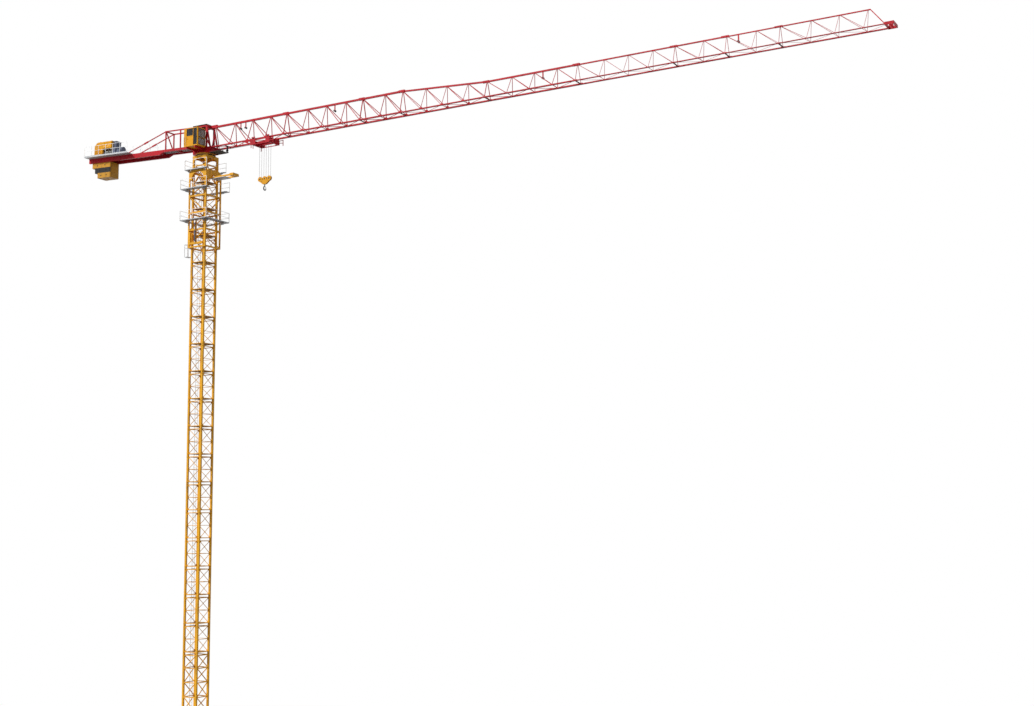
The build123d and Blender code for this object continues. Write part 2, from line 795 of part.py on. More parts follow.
def flat_lacing(first, last, deep):
    """The laced side between two panel points where the truss depth is constant."""
    foot = CHORD_GAUGE / 2
    head = TOP_NODE_APART / 2
    slope = math.hypot(foot - head, deep)
    bars = []
    for count in range(first, last + 1):
        bars.append(strip((bottom_node(count), 0), (top_node(count), slope), JIB_BAR))
    for count in range(first, last):
        bars.append(strip((top_node(count), slope), (bottom_node(count + 1), 0), JIB_BAR))
    plane = Plane((0, -foot, CHORD_LEVEL), x_dir=(1, 0, 0), z_dir=(0, -deep, foot - head))
    lacing = extrude(plane * (Sketch() + bars), amount=JIB_BAR_THICK / 2, both=True)
    top = CHORD_LEVEL + deep - TOP_CHORD_SIDE / 2
    return lacing & block((HEAD_FRONT, JIB_TIP), (-CHORD_GAUGE, CHORD_GAUGE), (CHORD_TOP, top))


def taper_lacing():
    """The laced side where the top chord comes down."""
    def foot(count):
        return bottom_node(count), -CHORD_GAUGE / 2, CHORD_LEVEL

    def head(count):
        return top_node(count), -TOP_NODE_APART / 2, top_level(top_node(count))

    bars = []
    for count in range(DEEP_PANEL_COUNT, TAPER_END):
        bars.append(beam(head(count), foot(count + 1), JIB_BAR_THICK, JIB_BAR))
        if count > DEEP_PANEL_COUNT:
            bars.append(beam(foot(count), head(count), JIB_BAR_THICK, JIB_BAR))
    return Part() + bars - top_chord() - bottom_chord()


def jib_side():
    inner = flat_lacing(0, DEEP_PANEL_COUNT, JIB_DEEP) - top_chord()
    outer = flat_lacing(TAPER_END, PANEL_COUNT, JIB_SHALLOW)
    return inner + taper_lacing() + outer


def bottom_lacing():
    half = SIDE_INNER
    bars = []
    side = half
    for count in range(PANEL_COUNT + 1):
        x = bottom_node(count)
        bars.append(strip((x, -half), (x, half), LACING_BAR))
        bars.append(strip((x, -side), (bottom_node(count + 1), side), LACING_BAR))
        side = -side
    frame = Pos((HEAD_FRONT + JIB_TIP) / 2, 0) * Rectangle(JIB_TIP - HEAD_FRONT, 2 * half)
    drawing = (Sketch() + bars) & frame
    return extrude(Plane((0, 0, CHORD_LEVEL)) * drawing, amount=LACING_THICK / 2, both=True)


def tip_frame():
    """The rope frame at the jib's tip, its pulley, and the stay up to the end of the top chord."""
    end = JIB_TIP + TIP_FRAME_LONG
    levels = around(CHORD_LEVEL, TIP_FRAME_HIGH)
    frame = Part() + both_sides(block((JIB_TIP, end), (-SIDE_OUTER, TIP_PLATE - SIDE_OUTER), levels))
    for x in (JIB_TIP, end - TIP_PLATE):
        frame += block((x, x + TIP_PLATE), (-SIDE_OUTER, SIDE_OUTER), levels)
    middle = JIB_TIP + TIP_FRAME_LONG / 2
    pulley = pin(TIP_PULLEY_RADIUS, TIP_PULLEY_WIDE, middle, 0, CHORD_LEVEL)
    frame += pulley + pin(AXLE_RADIUS, 2 * (SIDE_OUTER - TIP_PLATE), middle, 0, CHORD_LEVEL)
    head = (TOP_CHORD_END, top_level(TOP_CHORD_END))
    stay = strip(head, (JIB_TIP + TIP_PLATE / 2, CHORD_LEVEL), TIP_STAY)
    reach = end - TOP_CHORD_END
    stay = stay & Pos(TOP_CHORD_END + reach / 2, CHORD_LEVEL) * Rectangle(reach, 2 * JIB_DEEP)
    return frame + side_view(stay, *around(0, TIP_STAY))


def rope_supports():
    supports = []
    for x in ROPE_SUPPORT_PLACES:
        top = top_level(x) - TOP_CHORD_SIDE / 2
        foot = top - ROPE_SUPPORT_DROP
        arm = block(around(x, ROPE_SUPPORT_WIDE), around(0, ROPE_SUPPORT_THICK), (foot, top))
        supports.append(arm + pin(ROPE_ROLLER_RADIUS, ROPE_ROLLER_LONG, x, 0, foot))
    return supports


# Counter-jib: two girders that rise a little towards the tail
RISE = math.tan(math.radians(TILT))
GIRDER_ROOT = HEAD_LOW + GIRDER_RISE
TAIL = HEAD_REAR - COUNTER_JIB_LONG
REAR_POST = HEAD_REAR - REAR_POST_REACH
MIDDLE_POST = HEAD_REAR - MIDDLE_POST_REACH
TIE_FOOT = HEAD_REAR - TIE_REACH
DECK_FRONT = TIE_FOOT + DECK_AHEAD


def girder_top(x):
    return GIRDER_ROOT + (HEAD_REAR - x) * RISE


KNEE_LEVEL = girder_top(REAR_POST) + REAR_HIGH


def on_girders(reach):
    """Place on the girder tops at a distance behind the tower head, with Z square to them."""
    x = HEAD_REAR - reach
    return Pos(x, 0, girder_top(x)) * Rot(0, TILT, 0)


def under_girder(x, deep):
    return x, girder_top(x) - deep


def counter_jib_frame():
    step = HEAD_REAR - GIRDER_STEP
    drawing = outline(
        under_girder(HEAD_REAR, 0),
        under_girder(TAIL, 0),
        under_girder(TAIL, GIRDER_DEEP),
        under_girder(step, GIRDER_DEEP),
        under_girder(step + GIRDER_STEP_LONG, GIRDER_SHALLOW),
        under_girder(HEAD_REAR, GIRDER_SHALLOW),
    )
    frame = Part() + both_sides(side_view(drawing, -GIRDER_INNER - GIRDER_WIDE, -GIRDER_INNER))
    rib = Pos(0, 0, -CROSS_BEAM_DEEP / 2) * Box(CROSS_BEAM_LONG, 2 * GIRDER_INNER, CROSS_BEAM_DEEP)
    reach = CROSS_BEAM_PITCH
    while reach < COUNTER_JIB_LONG:
        frame += on_girders(reach) * rib
        reach += CROSS_BEAM_PITCH
    return frame


def above_girders():
    """The part of the side view that lies over the girders and behind the tower head."""
    high = HEAD_TOP + HEAD_HIGH + REAR_HIGH
    return outline(under_girder(HEAD_REAR, 0), (HEAD_REAR, high), (TAIL, high), under_girder(TAIL, 0))


def rear_frame():
    start = (HEAD_REAR, HEAD_TOP - HEAD_POST / 2)
    knee = (REAR_POST, KNEE_LEVEL)
    share = MIDDLE_POST_REACH / REAR_POST_REACH
    middle_top = start[1] + (knee[1] - start[1]) * share
    drawing = Sketch() + [
        strip(start, knee, REAR_BAR),
        strip((REAR_POST, GIRDER_ROOT), (REAR_POST, KNEE_LEVEL + REAR_BAR / 2), REAR_BAR),
        strip((MIDDLE_POST, GIRDER_ROOT), (MIDDLE_POST, middle_top), REAR_BAR),
    ]
    side = side_view(drawing & above_girders(), -GIRDER_INNER - REAR_THICK, -GIRDER_INNER)
    frame = Part() + both_sides(side)
    portal = Sketch() + [
        strip((-GIRDER_INNER, KNEE_LEVEL), (GIRDER_INNER, KNEE_LEVEL), REAR_BAR),
        strip((-GIRDER_INNER, KNEE_LEVEL), (GIRDER_INNER, girder_top(REAR_POST) + REAR_BAR), PORTAL_BAR),
    ]
    portal = portal & Pos(0, KNEE_LEVEL - REAR_HIGH / 2) * Rectangle(2 * GIRDER_INNER, REAR_HIGH + REAR_BAR)
    return frame + end_view(portal, *around(REAR_POST, REAR_THICK))


def tie_bars():
    knee = (REAR_POST, KNEE_LEVEL)
    foot = (TIE_FOOT, girder_top(TIE_FOOT) + TIE_FOOT_RISE)
    middle = (Vector(*knee) + Vector(*foot)) / 2
    link = (Vector(*foot) - Vector(*knee)).normalized() * (TIE_LINK_LONG / 2)
    drawing = Sketch() + [
        strip(knee, foot, TIE_BAR),
        strip(middle - link, middle + link, 2 * TIE_BAR),
        strip((TIE_FOOT, GIRDER_ROOT), foot, 2 * TIE_BAR),
    ]
    post = strip((REAR_POST, GIRDER_ROOT), (REAR_POST, KNEE_LEVEL + REAR_HIGH), REAR_BAR)
    drawing = drawing & above_girders()
    return both_sides(side_view(drawing - post, -GIRDER_INNER - REAR_THICK, -GIRDER_INNER))


def on_girder_line(front, rear, high):
    """A strip of the side view that lies on the girder tops."""
    return outline(
        under_girder(front, 0),
        under_girder(rear, 0),
        under_girder(rear, -high),
        under_girder(front, -high),
    )


def counter_jib_deck():
    """The machine deck with its toe boards, and the walkway between the girders."""
    half = DECK_WIDE / 2
    deck = side_view(on_girder_line(DECK_FRONT, TAIL, DECK_THICK), -half, half) - tie_bars()
    edge = on_girder_line(DECK_FRONT, TAIL, TOE_BOARD)
    deck += both_sides(side_view(edge, -half, -half + TOE_BOARD_THICK))
    walk = on_girder_line(HEAD_REAR, DECK_FRONT, DECK_THICK)
    return deck + side_view(walk, WALK_GAP - GIRDER_INNER, GIRDER_INNER - WALK_GAP)


def deck_rails():
    half = DECK_WIDE / 2
    bars = []
    for height in (TOE_BOARD + RAIL_HIGH / 2, TOE_BOARD + RAIL_HIGH):
        bars.append(strip(under_girder(DECK_FRONT, -height), under_girder(TAIL, -height), RAIL_BAR))
    for count in range(DECK_POSTS + 1):
        x = DECK_FRONT - RAIL_BAR + (TAIL + 2 * RAIL_BAR - DECK_FRONT) * count / DECK_POSTS
        bars.append(strip((x, girder_top(x)), (x, girder_top(x) + TOE_BOARD + RAIL_HIGH), RAIL_BAR))
    drawing = (Sketch() + bars) & outline(
        under_girder(DECK_FRONT, -TOE_BOARD),
        under_girder(DECK_FRONT, -TOE_BOARD - 2 * RAIL_HIGH),
        under_girder(TAIL, -TOE_BOARD - 2 * RAIL_HIGH),
        under_girder(TAIL, -TOE_BOARD),
    )
    return both_sides(side_view(drawing, -half, -half + RAIL_BAR))


def ballast_slab(count):
    """One of the stepped ballast slabs under the tail, counted from the top."""
    front = TAIL + BALLAST_TAIL + BALLAST_LONG
    rear = TAIL + BALLAST_TAIL + BALLAST_STEP * count
    high = GIRDER_DEEP + BALLAST_HIGH * count
    drawing = outline(
        under_girder(front, high),
        under_girder(rear, high),
        under_girder(rear, high + BALLAST_HIGH),
        under_girder(front, high + BALLAST_HIGH),
    )
    slab = side_view(drawing, -BALLAST_WIDE / 2, BALLAST_WIDE / 2)
    return chamfer(slab.edges().filter_by(Axis.Z), BALLAST_ROUND)


# Hoist on its skid, drawn in the gearbox's own place, with the machine cover behind it
HOIST_REACH = TIE_REACH + HOIST_BEHIND
SKID_TOP = DECK_THICK + SKID_HIGH
GEARBOX_TOP = SKID_TOP + GEARBOX_HIGH
DRUM_LEVEL = SKID_TOP + DRUM_HEIGHT
DRUM_FRONT = -GEARBOX_LONG / 2 - DRUM_GAP
DRUM_REAR = DRUM_FRONT - DRUM_LONG
STAND_FRONT = DRUM_REAR - DRUM_GAP
STAND_REAR = STAND_FRONT - STAND_THICK
MOTOR_END = GEARBOX_LONG / 2 + MOTOR_LONG
HOOD_LOW = DRUM_LEVEL + DRUM_FLANGE + HOOD_GAP


def along_deck(radius, start, end, level):
    """A round bar that lies along the deck."""
    return Pos((start + end) / 2, 0, level) * Rot(0, 90, 0) * Cylinder(radius, abs(end - start))


def hoist_frame():
    """A skid ring, with a bearing stand behind the drum."""
    front = MOTOR_END + MOTOR_CAP_LONG
    half = HOIST_WIDE / 2
    inner = half - SKID_BAR
    levels = (DECK_THICK, SKID_TOP)
    skid = block((STAND_REAR, front), (-half, half), levels)
    skid -= block((STAND_REAR + SKID_BAR, front - SKID_BAR), (-inner, inner), levels)
    stand_levels = (SKID_TOP, DRUM_LEVEL + DRUM_RADIUS)
    skid += block((STAND_REAR, STAND_FRONT), around(0, STAND_WIDE), stand_levels)
    return on_girders(HOIST_REACH) * skid


def hoist_drum():
    body = along_deck(DRUM_RADIUS, DRUM_FRONT, DRUM_REAR, DRUM_LEVEL)
    body += along_deck(DRUM_FLANGE, DRUM_FRONT, DRUM_FRONT - DRUM_FLANGE_THICK, DRUM_LEVEL)
    body += along_deck(DRUM_FLANGE, DRUM_REAR, DRUM_REAR + DRUM_FLANGE_THICK, DRUM_LEVEL)
    body += along_deck(DRUM_SHAFT, -GEARBOX_LONG / 2, STAND_FRONT, DRUM_LEVEL)
    return on_girders(HOIST_REACH) * body


def hoist_motor():
    """Gearbox, motor and fan cap in line, on a foot."""
    level = SKID_TOP + MOTOR_HEIGHT
    front = GEARBOX_LONG / 2
    wide = around(0, GEARBOX_WIDE)
    motor = block(around(0, GEARBOX_LONG), wide, (SKID_TOP, GEARBOX_TOP))
    motor += along_deck(MOTOR_RADIUS, front, MOTOR_END, level)
    motor += along_deck(MOTOR_CAP, MOTOR_END, MOTOR_END + MOTOR_CAP_LONG, level)
    motor += block(around((front + MOTOR_END) / 2, MOTOR_FOOT), wide, (SKID_TOP, level))
    return on_girders(HOIST_REACH) * motor


def machine_cover():
    """A cover behind the drum, with a hood that reaches forward over it."""
    front = -GEARBOX_LONG / 2 - COVER_GAP
    rear = front - COVER_LONG
    foot = STAND_REAR - COVER_GAP
    top = DECK_THICK + COVER_HIGH
    drawing = outline(
        (rear, DECK_THICK),
        (foot, DECK_THICK),
        (foot, HOOD_LOW),
        (front, HOOD_LOW),
        (front, top),
        (rear + COVER_SLOPE, top),
        (rear, top - COVER_SLOPE),
    )
    cover = side_view(drawing, -COVER_WIDE / 2, COVER_WIDE / 2)
    cover = chamfer(cover.edges().filter_by(Axis.X).group_by(Axis.Z)[-1], COVER_EDGE)
    return on_girders(HOIST_REACH) * cover


def resistor_box():
    levels = (GEARBOX_TOP, GEARBOX_TOP + RESISTOR_HIGH)
    box = block(around(0, GEARBOX_LONG), around(0, RESISTOR_WIDE), levels)
    box = chamfer(box.faces().sort_by(Axis.Z)[-1].edges(), RESISTOR_EDGE)
    return on_girders(HOIST_REACH) * box


# Trolley: side plates outside the bottom chords, hung on wheels that run on the runways
RUNWAY_OUTER = SIDE_OUTER + RUNWAY_WIDE
TROLLEY_INNER = RUNWAY_OUTER + TROLLEY_CLEAR
TROLLEY_OUTER = TROLLEY_INNER + TROLLEY_PLATE
TROLLEY_BEAM_TOP = CHORD_BOTTOM - TROLLEY_CLEAR
TROLLEY_LOW = CHORD_LEVEL - TROLLEY_DROP
TROLLEY_TOP = CHORD_LEVEL + TROLLEY_RISE
TROLLEY_REAR = TROLLEY_PLACE - TROLLEY_LONG / 2
TROLLEY_FRONT = TROLLEY_PLACE + TROLLEY_LONG / 2
SHEAVE_LEVEL = CHORD_LEVEL - SHEAVE_DROP
SHEAVE_RADIUS = FALL_PITCH / 2 - ROPE_RADIUS - SHEAVE_GAP
CHEEK_INNER = SHEAVE_WIDE / 2 + SHEAVE_CHEEK_GAP


def in_line(count, pitch):
    """Places of a row along the jib, centred on the trolley."""
    return [TROLLEY_PLACE + pitch * (place - (count - 1) / 2) for place in range(count)]


FALLS = in_line(FALL_COUNT, FALL_PITCH)
BLOCK_SHEAVES = in_line(FALL_COUNT // 2, 2 * FALL_PITCH)
TROLLEY_SHEAVES = in_line(FALL_COUNT // 2 + 1, 2 * FALL_PITCH)


def trolley_side():
    """A side plate with a window, ears that carry the wheels, and a bracket at its front end."""
    drawing = outline(
        (TROLLEY_REAR, TROLLEY_BEAM_TOP),
        (TROLLEY_FRONT, TROLLEY_BEAM_TOP),
        (TROLLEY_FRONT, TROLLEY_LOW),
        (TROLLEY_REAR, TROLLEY_LOW),
    )
    low = TROLLEY_LOW + TROLLEY_RIB
    high = TROLLEY_BEAM_TOP - TROLLEY_RIB
    start, end = around(TROLLEY_PLACE, TROLLEY_WINDOW)
    drawing -= outline((start, low), (end, low), (end, high), (start, high))
    for x in around(TROLLEY_PLACE, WHEEL_BASE):
        start, end = around(x, EAR_LONG)
        drawing += outline((start, high), (end, high), (end, TROLLEY_TOP), (start, TROLLEY_TOP))
    seat = TROLLEY_FRONT - BRACKET_BAR
    post = TROLLEY_FRONT + BRACKET_LONG
    arm = TROLLEY_BEAM_TOP - BRACKET_BAR
    foot = TROLLEY_BEAM_TOP - BRACKET_DROP
    drawing += strip((seat, arm), (post, arm), BRACKET_BAR)
    drawing += strip((post, TROLLEY_BEAM_TOP), (post, foot), BRACKET_BAR)
    drawing += strip((seat, (arm + TROLLEY_LOW) / 2), (post, (arm + foot) / 2), BRACKET_BAR)
    return side_view(drawing, -TROLLEY_OUTER, -TROLLEY_INNER)


def trolley_frame():
    frame = Part() + both_sides(trolley_side())
    rear = TROLLEY_REAR + TROLLEY_BEAM / 2
    front = TROLLEY_FRONT - TROLLEY_BEAM / 2
    levels = (TROLLEY_LOW, TROLLEY_BEAM_TOP)
    for x in (rear, front):
        frame += block(around(x, TROLLEY_BEAM), (-TROLLEY_INNER, TROLLEY_INNER), levels)
    cheek = block((rear, front), (-CHEEK_INNER - SHEAVE_CHEEK, -CHEEK_INNER), levels)
    return frame + both_sides(cheek)


def trolley_wheels():
    inner = SIDE_OUTER + WHEEL_SIDE_GAP
    level = CHORD_BOTTOM + RUNWAY_THICK + WHEEL_GAP + WHEEL_RADIUS
    wheels = []
    for x in around(TROLLEY_PLACE, WHEEL_BASE):
        wheel = drum(WHEEL_RADIUS, WHEEL_WIDE, x, -inner - WHEEL_WIDE / 2, level)
        wheel += pin(AXLE_RADIUS, TROLLEY_INNER - inner, x, -(inner + TROLLEY_INNER) / 2, level)
        wheels += both_sides(wheel)
    return wheels


def sheave(x, level):
    disc = drum(SHEAVE_RADIUS, SHEAVE_WIDE, x, 0, level)
    return disc + pin(AXLE_RADIUS, 2 * CHEEK_INNER, x, 0, level)


def trolley_basket():
    """A wedge-shaped service basket at the root end, with two posts that hang from it."""
    rear = TROLLEY_REAR - BASKET_LONG
    top = TROLLEY_BEAM_TOP
    side = outline((rear, top), (TROLLEY_REAR, top), (TROLLEY_REAR, TROLLEY_LOW))
    rim = outline((rear, top), (TROLLEY_REAR, TROLLEY_LOW), (TROLLEY_REAR, TROLLEY_LOW + BASKET_FLOOR))
    window = Pos(TROLLEY_REAR - BASKET_LONG / 4, (top + TROLLEY_LOW) / 2 + 2 * BASKET_FLOOR) * Rectangle(
        BASKET_LONG / 4, BASKET_FLOOR * 3
    )
    basket = Part() + both_sides(side_view(side - window, -TROLLEY_OUTER, -TROLLEY_INNER))
    basket += side_view(rim, -TROLLEY_INNER, TROLLEY_INNER)
    for x, high in ((rear, top), (TROLLEY_REAR - BASKET_POST, TROLLEY_LOW + BASKET_FLOOR)):
        post = block((x, x + BASKET_POST), (-TROLLEY_OUTER, -TROLLEY_INNER), (high - BASKET_POST_LONG, high))
        basket += both_sides(post)
    return basket


def hoist_falls():
    low = SHEAVE_LEVEL - HOIST_DROP
    return [extrude(Pos(x, 0, low) * RegularPolygon(ROPE_RADIUS, 6), amount=HOIST_DROP) for x in FALLS]


# Hook block: two cheeks with sheaves in line, and a crosshead for the hook
BLOCK_LEVEL = SHEAVE_LEVEL - HOIST_DROP
CROSSHEAD_LOW = BLOCK_LEVEL - BLOCK_DROP
CROSSHEAD_TOP = CROSSHEAD_LOW + CROSSHEAD_HIGH


def hook_block_cheeks():
    """Cheeks with a round hump over each sheave and sides that close in to the crosshead."""
    ends = FALL_PITCH * (len(BLOCK_SHEAVES) - 1) + BLOCK_HUMP - BLOCK_INSET
    shoulder = BLOCK_LEVEL - BLOCK_SHOULDER
    drawing = outline(
        (TROLLEY_PLACE - ends, shoulder),
        (TROLLEY_PLACE + ends, shoulder),
        (TROLLEY_PLACE + BLOCK_FOOT / 2, CROSSHEAD_LOW),
        (TROLLEY_PLACE - BLOCK_FOOT / 2, CROSSHEAD_LOW),
    )
    for x in BLOCK_SHEAVES:
        drawing += Pos(x, BLOCK_LEVEL) * Circle(BLOCK_HUMP)
    return both_sides(side_view(drawing, -CHEEK_INNER - BLOCK_CHEEK, -CHEEK_INNER))


def hook_crosshead():
    half = CROSSHEAD_LONG / 2
    head = block((-half, half), (-CHEEK_INNER, CHEEK_INNER), (CROSSHEAD_LOW, CROSSHEAD_TOP))
    bore = Cylinder(SHANK_RADIUS + SWIVEL_GAP, CROSSHEAD_HIGH)
    return Pos(TROLLEY_PLACE, 0, 0) * (head - Pos(0, 0, (CROSSHEAD_LOW + CROSSHEAD_TOP) / 2) * bore)


def hook():
    centre = BLOCK_LEVEL - HOOK_DROP
    outer = HOOK_BOWL + HOOK_SECTION
    ring = Circle(outer) - Circle(HOOK_BOWL)
    mouth = outline((0, 0), (2 * outer, 0), (2 * outer, 2 * outer * math.tan(math.radians(HOOK_MOUTH))))
    bowl = side_view(Pos(0, centre) * (ring - mouth), *around(0, HOOK_SECTION))
    foot = centre + HOOK_BOWL + HOOK_SECTION / 2
    nut_low = CROSSHEAD_TOP + BEARING_GAP
    shank = Pos(0, 0, (foot + nut_low) / 2) * Cylinder(SHANK_RADIUS, nut_low - foot)
    nut = extrude(Pos(0, 0, nut_low) * RegularPolygon(NUT_RADIUS, 6), amount=NUT_HIGH)
    return Pos(TROLLEY_PLACE, 0, 0) * Rot(0, 0, 90) * (bowl + shank + nut)


def cage_parts():
    right, _, left, _ = four_faces(cage_side(CAGE_HALF, (0, 2), True))
    _, front, _, _ = four_faces(cage_side(CAGE_INNER, (), False))
    _, _, _, rear = four_faces(cage_side(CAGE_INNER, range(CAGE_BAYS - 1), False))
    parts = {"cage_side_right": right, "cage_side_left": left}
    parts.update(cage_side_front=front, cage_side_rear=rear)
    for name, (level, wide, with_front) in PLATFORMS.items():
        parts["platform_" + name] = platform(level, wide, with_front)
    return parts


def all_parts():
    parts = {"base_frame": base_frame(), "mast_legs": mast_legs()}
    for face, bracing in zip(FACES, four_faces(mast_bracing())):
        parts["mast_bracing_" + face] = bracing
    parts["slewing_seat"] = slewing_seat()
    parts.update(cage_parts())
    parts["platform_rails"] = platform_rails()
    parts["introduction_beam"] = introduction_beam()
    parts["introduction_tray"] = introduction_tray()
    parts["climbing_yoke"] = climbing_yoke()
    parts["hanging_stage"] = hanging_stage()
    parts["slewing_platform"] = slewing_platform()
    parts["front_walkway"] = front_walkway()
    parts["tower_head"] = tower_head()
    parts["head_platform"] = head_platform()
    parts["cab_beams"] = cab_beams()
    parts["cab_shell"] = cab_shell()
    parts["cab_glass"] = cab_glass()
    parts["jib_top_chord"] = top_chord()
    parts["jib_bottom_chords"] = both_sides(bottom_chord())
    parts["jib_side_right"], parts["jib_side_left"] = both_sides(jib_side())
    parts["jib_bottom_lacing"] = bottom_lacing()
    parts["jib_tip_frame"] = tip_frame()
    parts["rope_supports"] = rope_supports()
    parts["counter_jib_frame"] = counter_jib_frame()
    parts["counter_jib_rear_frame"] = rear_frame()
    parts["tie_bars"] = tie_bars()
    parts["counter_jib_deck"] = counter_jib_deck()
    parts["deck_rails"] = deck_rails()
    for count, name in enumerate(("upper", "middle", "lower")):
        parts["ballast_" + name] = ballast_slab(count)
    parts["hoist_frame"] = hoist_frame()
    parts["hoist_drum"] = hoist_drum()
    parts["hoist_motor"] = hoist_motor()
    parts["machine_cover"] = machine_cover()
    parts["resistor_box"] = resistor_box()
    parts["trolley_frame"] = trolley_frame()
    parts["trolley_wheels"] = trolley_wheels()
    parts["trolley_sheaves"] = [sheave(x, SHEAVE_LEVEL) for x in TROLLEY_SHEAVES]
    parts["trolley_basket"] = trolley_basket()
    parts["hoist_falls"] = hoist_falls()
    parts["hook_block_cheeks"] = hook_block_cheeks()
    parts["hook_block_sheaves"] = [sheave(x, BLOCK_LEVEL) for x in BLOCK_SHEAVES]
    parts["hook_crosshead"] = hook_crosshead()
    parts["hook"] = hook()
    return parts


os.makedirs("parts", exist_ok=True)
for name, shape in all_parts().items():
    if isinstance(shape, list):
        shape = Compound(children=shape)
    export_step(shape, os.path.join("parts", name + ".step"))
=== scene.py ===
# %% [markdown]
# # A tower crane at one tenth of its size
# The solid model of the crane is loaded first: every bar of the mast, the jib and the counter-jib already
# stands in its place. This lesson gives those bars their paint, lays rounder or lighter ones over some of
# them, and adds what a solid model leaves out, such as ropes, ladders, bolts, gratings and the inside of
# the cab.

# %% Load the solid model
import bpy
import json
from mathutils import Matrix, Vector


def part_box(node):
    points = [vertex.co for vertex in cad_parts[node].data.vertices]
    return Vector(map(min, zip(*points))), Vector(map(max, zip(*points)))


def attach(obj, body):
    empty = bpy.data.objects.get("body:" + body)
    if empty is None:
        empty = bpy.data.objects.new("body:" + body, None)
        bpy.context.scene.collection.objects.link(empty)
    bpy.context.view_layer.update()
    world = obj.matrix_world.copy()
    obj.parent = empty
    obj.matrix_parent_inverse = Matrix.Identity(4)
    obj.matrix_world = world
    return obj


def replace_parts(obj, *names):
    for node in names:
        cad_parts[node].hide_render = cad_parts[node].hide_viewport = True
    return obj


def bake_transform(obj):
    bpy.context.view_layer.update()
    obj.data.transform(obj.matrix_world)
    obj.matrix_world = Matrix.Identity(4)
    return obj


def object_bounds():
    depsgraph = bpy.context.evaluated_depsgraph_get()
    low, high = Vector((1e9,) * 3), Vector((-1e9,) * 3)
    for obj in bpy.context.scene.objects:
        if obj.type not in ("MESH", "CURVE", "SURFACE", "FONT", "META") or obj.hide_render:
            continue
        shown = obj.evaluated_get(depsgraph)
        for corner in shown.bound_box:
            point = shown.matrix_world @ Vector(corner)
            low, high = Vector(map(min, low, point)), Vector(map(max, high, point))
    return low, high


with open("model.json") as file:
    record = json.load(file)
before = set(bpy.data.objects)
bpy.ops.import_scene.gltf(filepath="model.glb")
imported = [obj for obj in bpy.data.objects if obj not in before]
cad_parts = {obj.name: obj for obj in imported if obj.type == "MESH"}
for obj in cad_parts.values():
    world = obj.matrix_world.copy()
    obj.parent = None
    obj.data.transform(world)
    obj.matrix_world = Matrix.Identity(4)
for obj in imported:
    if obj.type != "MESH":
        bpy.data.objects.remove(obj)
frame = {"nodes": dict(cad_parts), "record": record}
cad_box = [list(corner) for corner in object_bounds()]

import json
import math
import bpy
from mathutils import Matrix, Vector

# %% [markdown]
# ## Camera
# A photographer stood far off on the ground and looked up a little, with the jib coming towards the lens. A
# tracking constraint could aim the camera, but its place and angles are known, so the axes of its matrix
# are written down straight away: right, up and backwards.

# %% Aim the camera
CAMERA_PLACE = Vector((10.379, -11.418, 2.230))
CAMERA_YAW = -0.5128
CAMERA_PITCH = 0.1229
CAMERA_ROLL = -0.0089
CAMERA_LENS = 48.3
CAMERA_REACH = 200
MAST_TOP = Vector((0, 0, 6))

ahead = Vector((math.sin(CAMERA_YAW), math.cos(CAMERA_YAW), 0)) * math.cos(CAMERA_PITCH)
ahead.z = math.sin(CAMERA_PITCH)
level = Vector((math.cos(CAMERA_YAW), -math.sin(CAMERA_YAW), 0))
upright = level.cross(ahead)
right = level * math.cos(CAMERA_ROLL) + upright * math.sin(CAMERA_ROLL)
up = upright * math.cos(CAMERA_ROLL) - level * math.sin(CAMERA_ROLL)
camera = bpy.data.objects.new("camera", bpy.data.cameras.new("camera"))
camera.data.lens = CAMERA_LENS
camera.data.clip_end = CAMERA_REACH
camera.matrix_world = Matrix.Translation(CAMERA_PLACE) @ Matrix((right, up, -ahead)).transposed().to_4x4()
bpy.context.scene.collection.objects.link(camera)
bpy.context.scene.camera = camera
print("camera", round((CAMERA_PLACE - MAST_TOP).length, 2), "m from the top of the mast")

# %% [markdown]
# ## Shader maths
# A material is a board of nodes, and placing them by hand in Python soon gets hard to read. So a small
# class wraps a socket and lets ordinary sums add Math nodes, and one method adds any other kind of node.

# %% A board of nodes
PAINT_LINE = 0.0002


class Signal:
    """An output socket on a finish's board, used in sums as if it were a number."""

    def __init__(self, finish, socket):
        self.finish = finish
        self.socket = socket

    def maths(self, operation, first, second):
        return self.finish.node("Math", {0: first, 1: second}, operation=operation)

    def __add__(self, other):
        return self.maths("ADD", self, other)

    def __radd__(self, other):
        return self.maths("ADD", other, self)

    def __sub__(self, other):
        return self.maths("SUBTRACT", self, other)

    def __mul__(self, other):
        return self.maths("MULTIPLY", self, other)


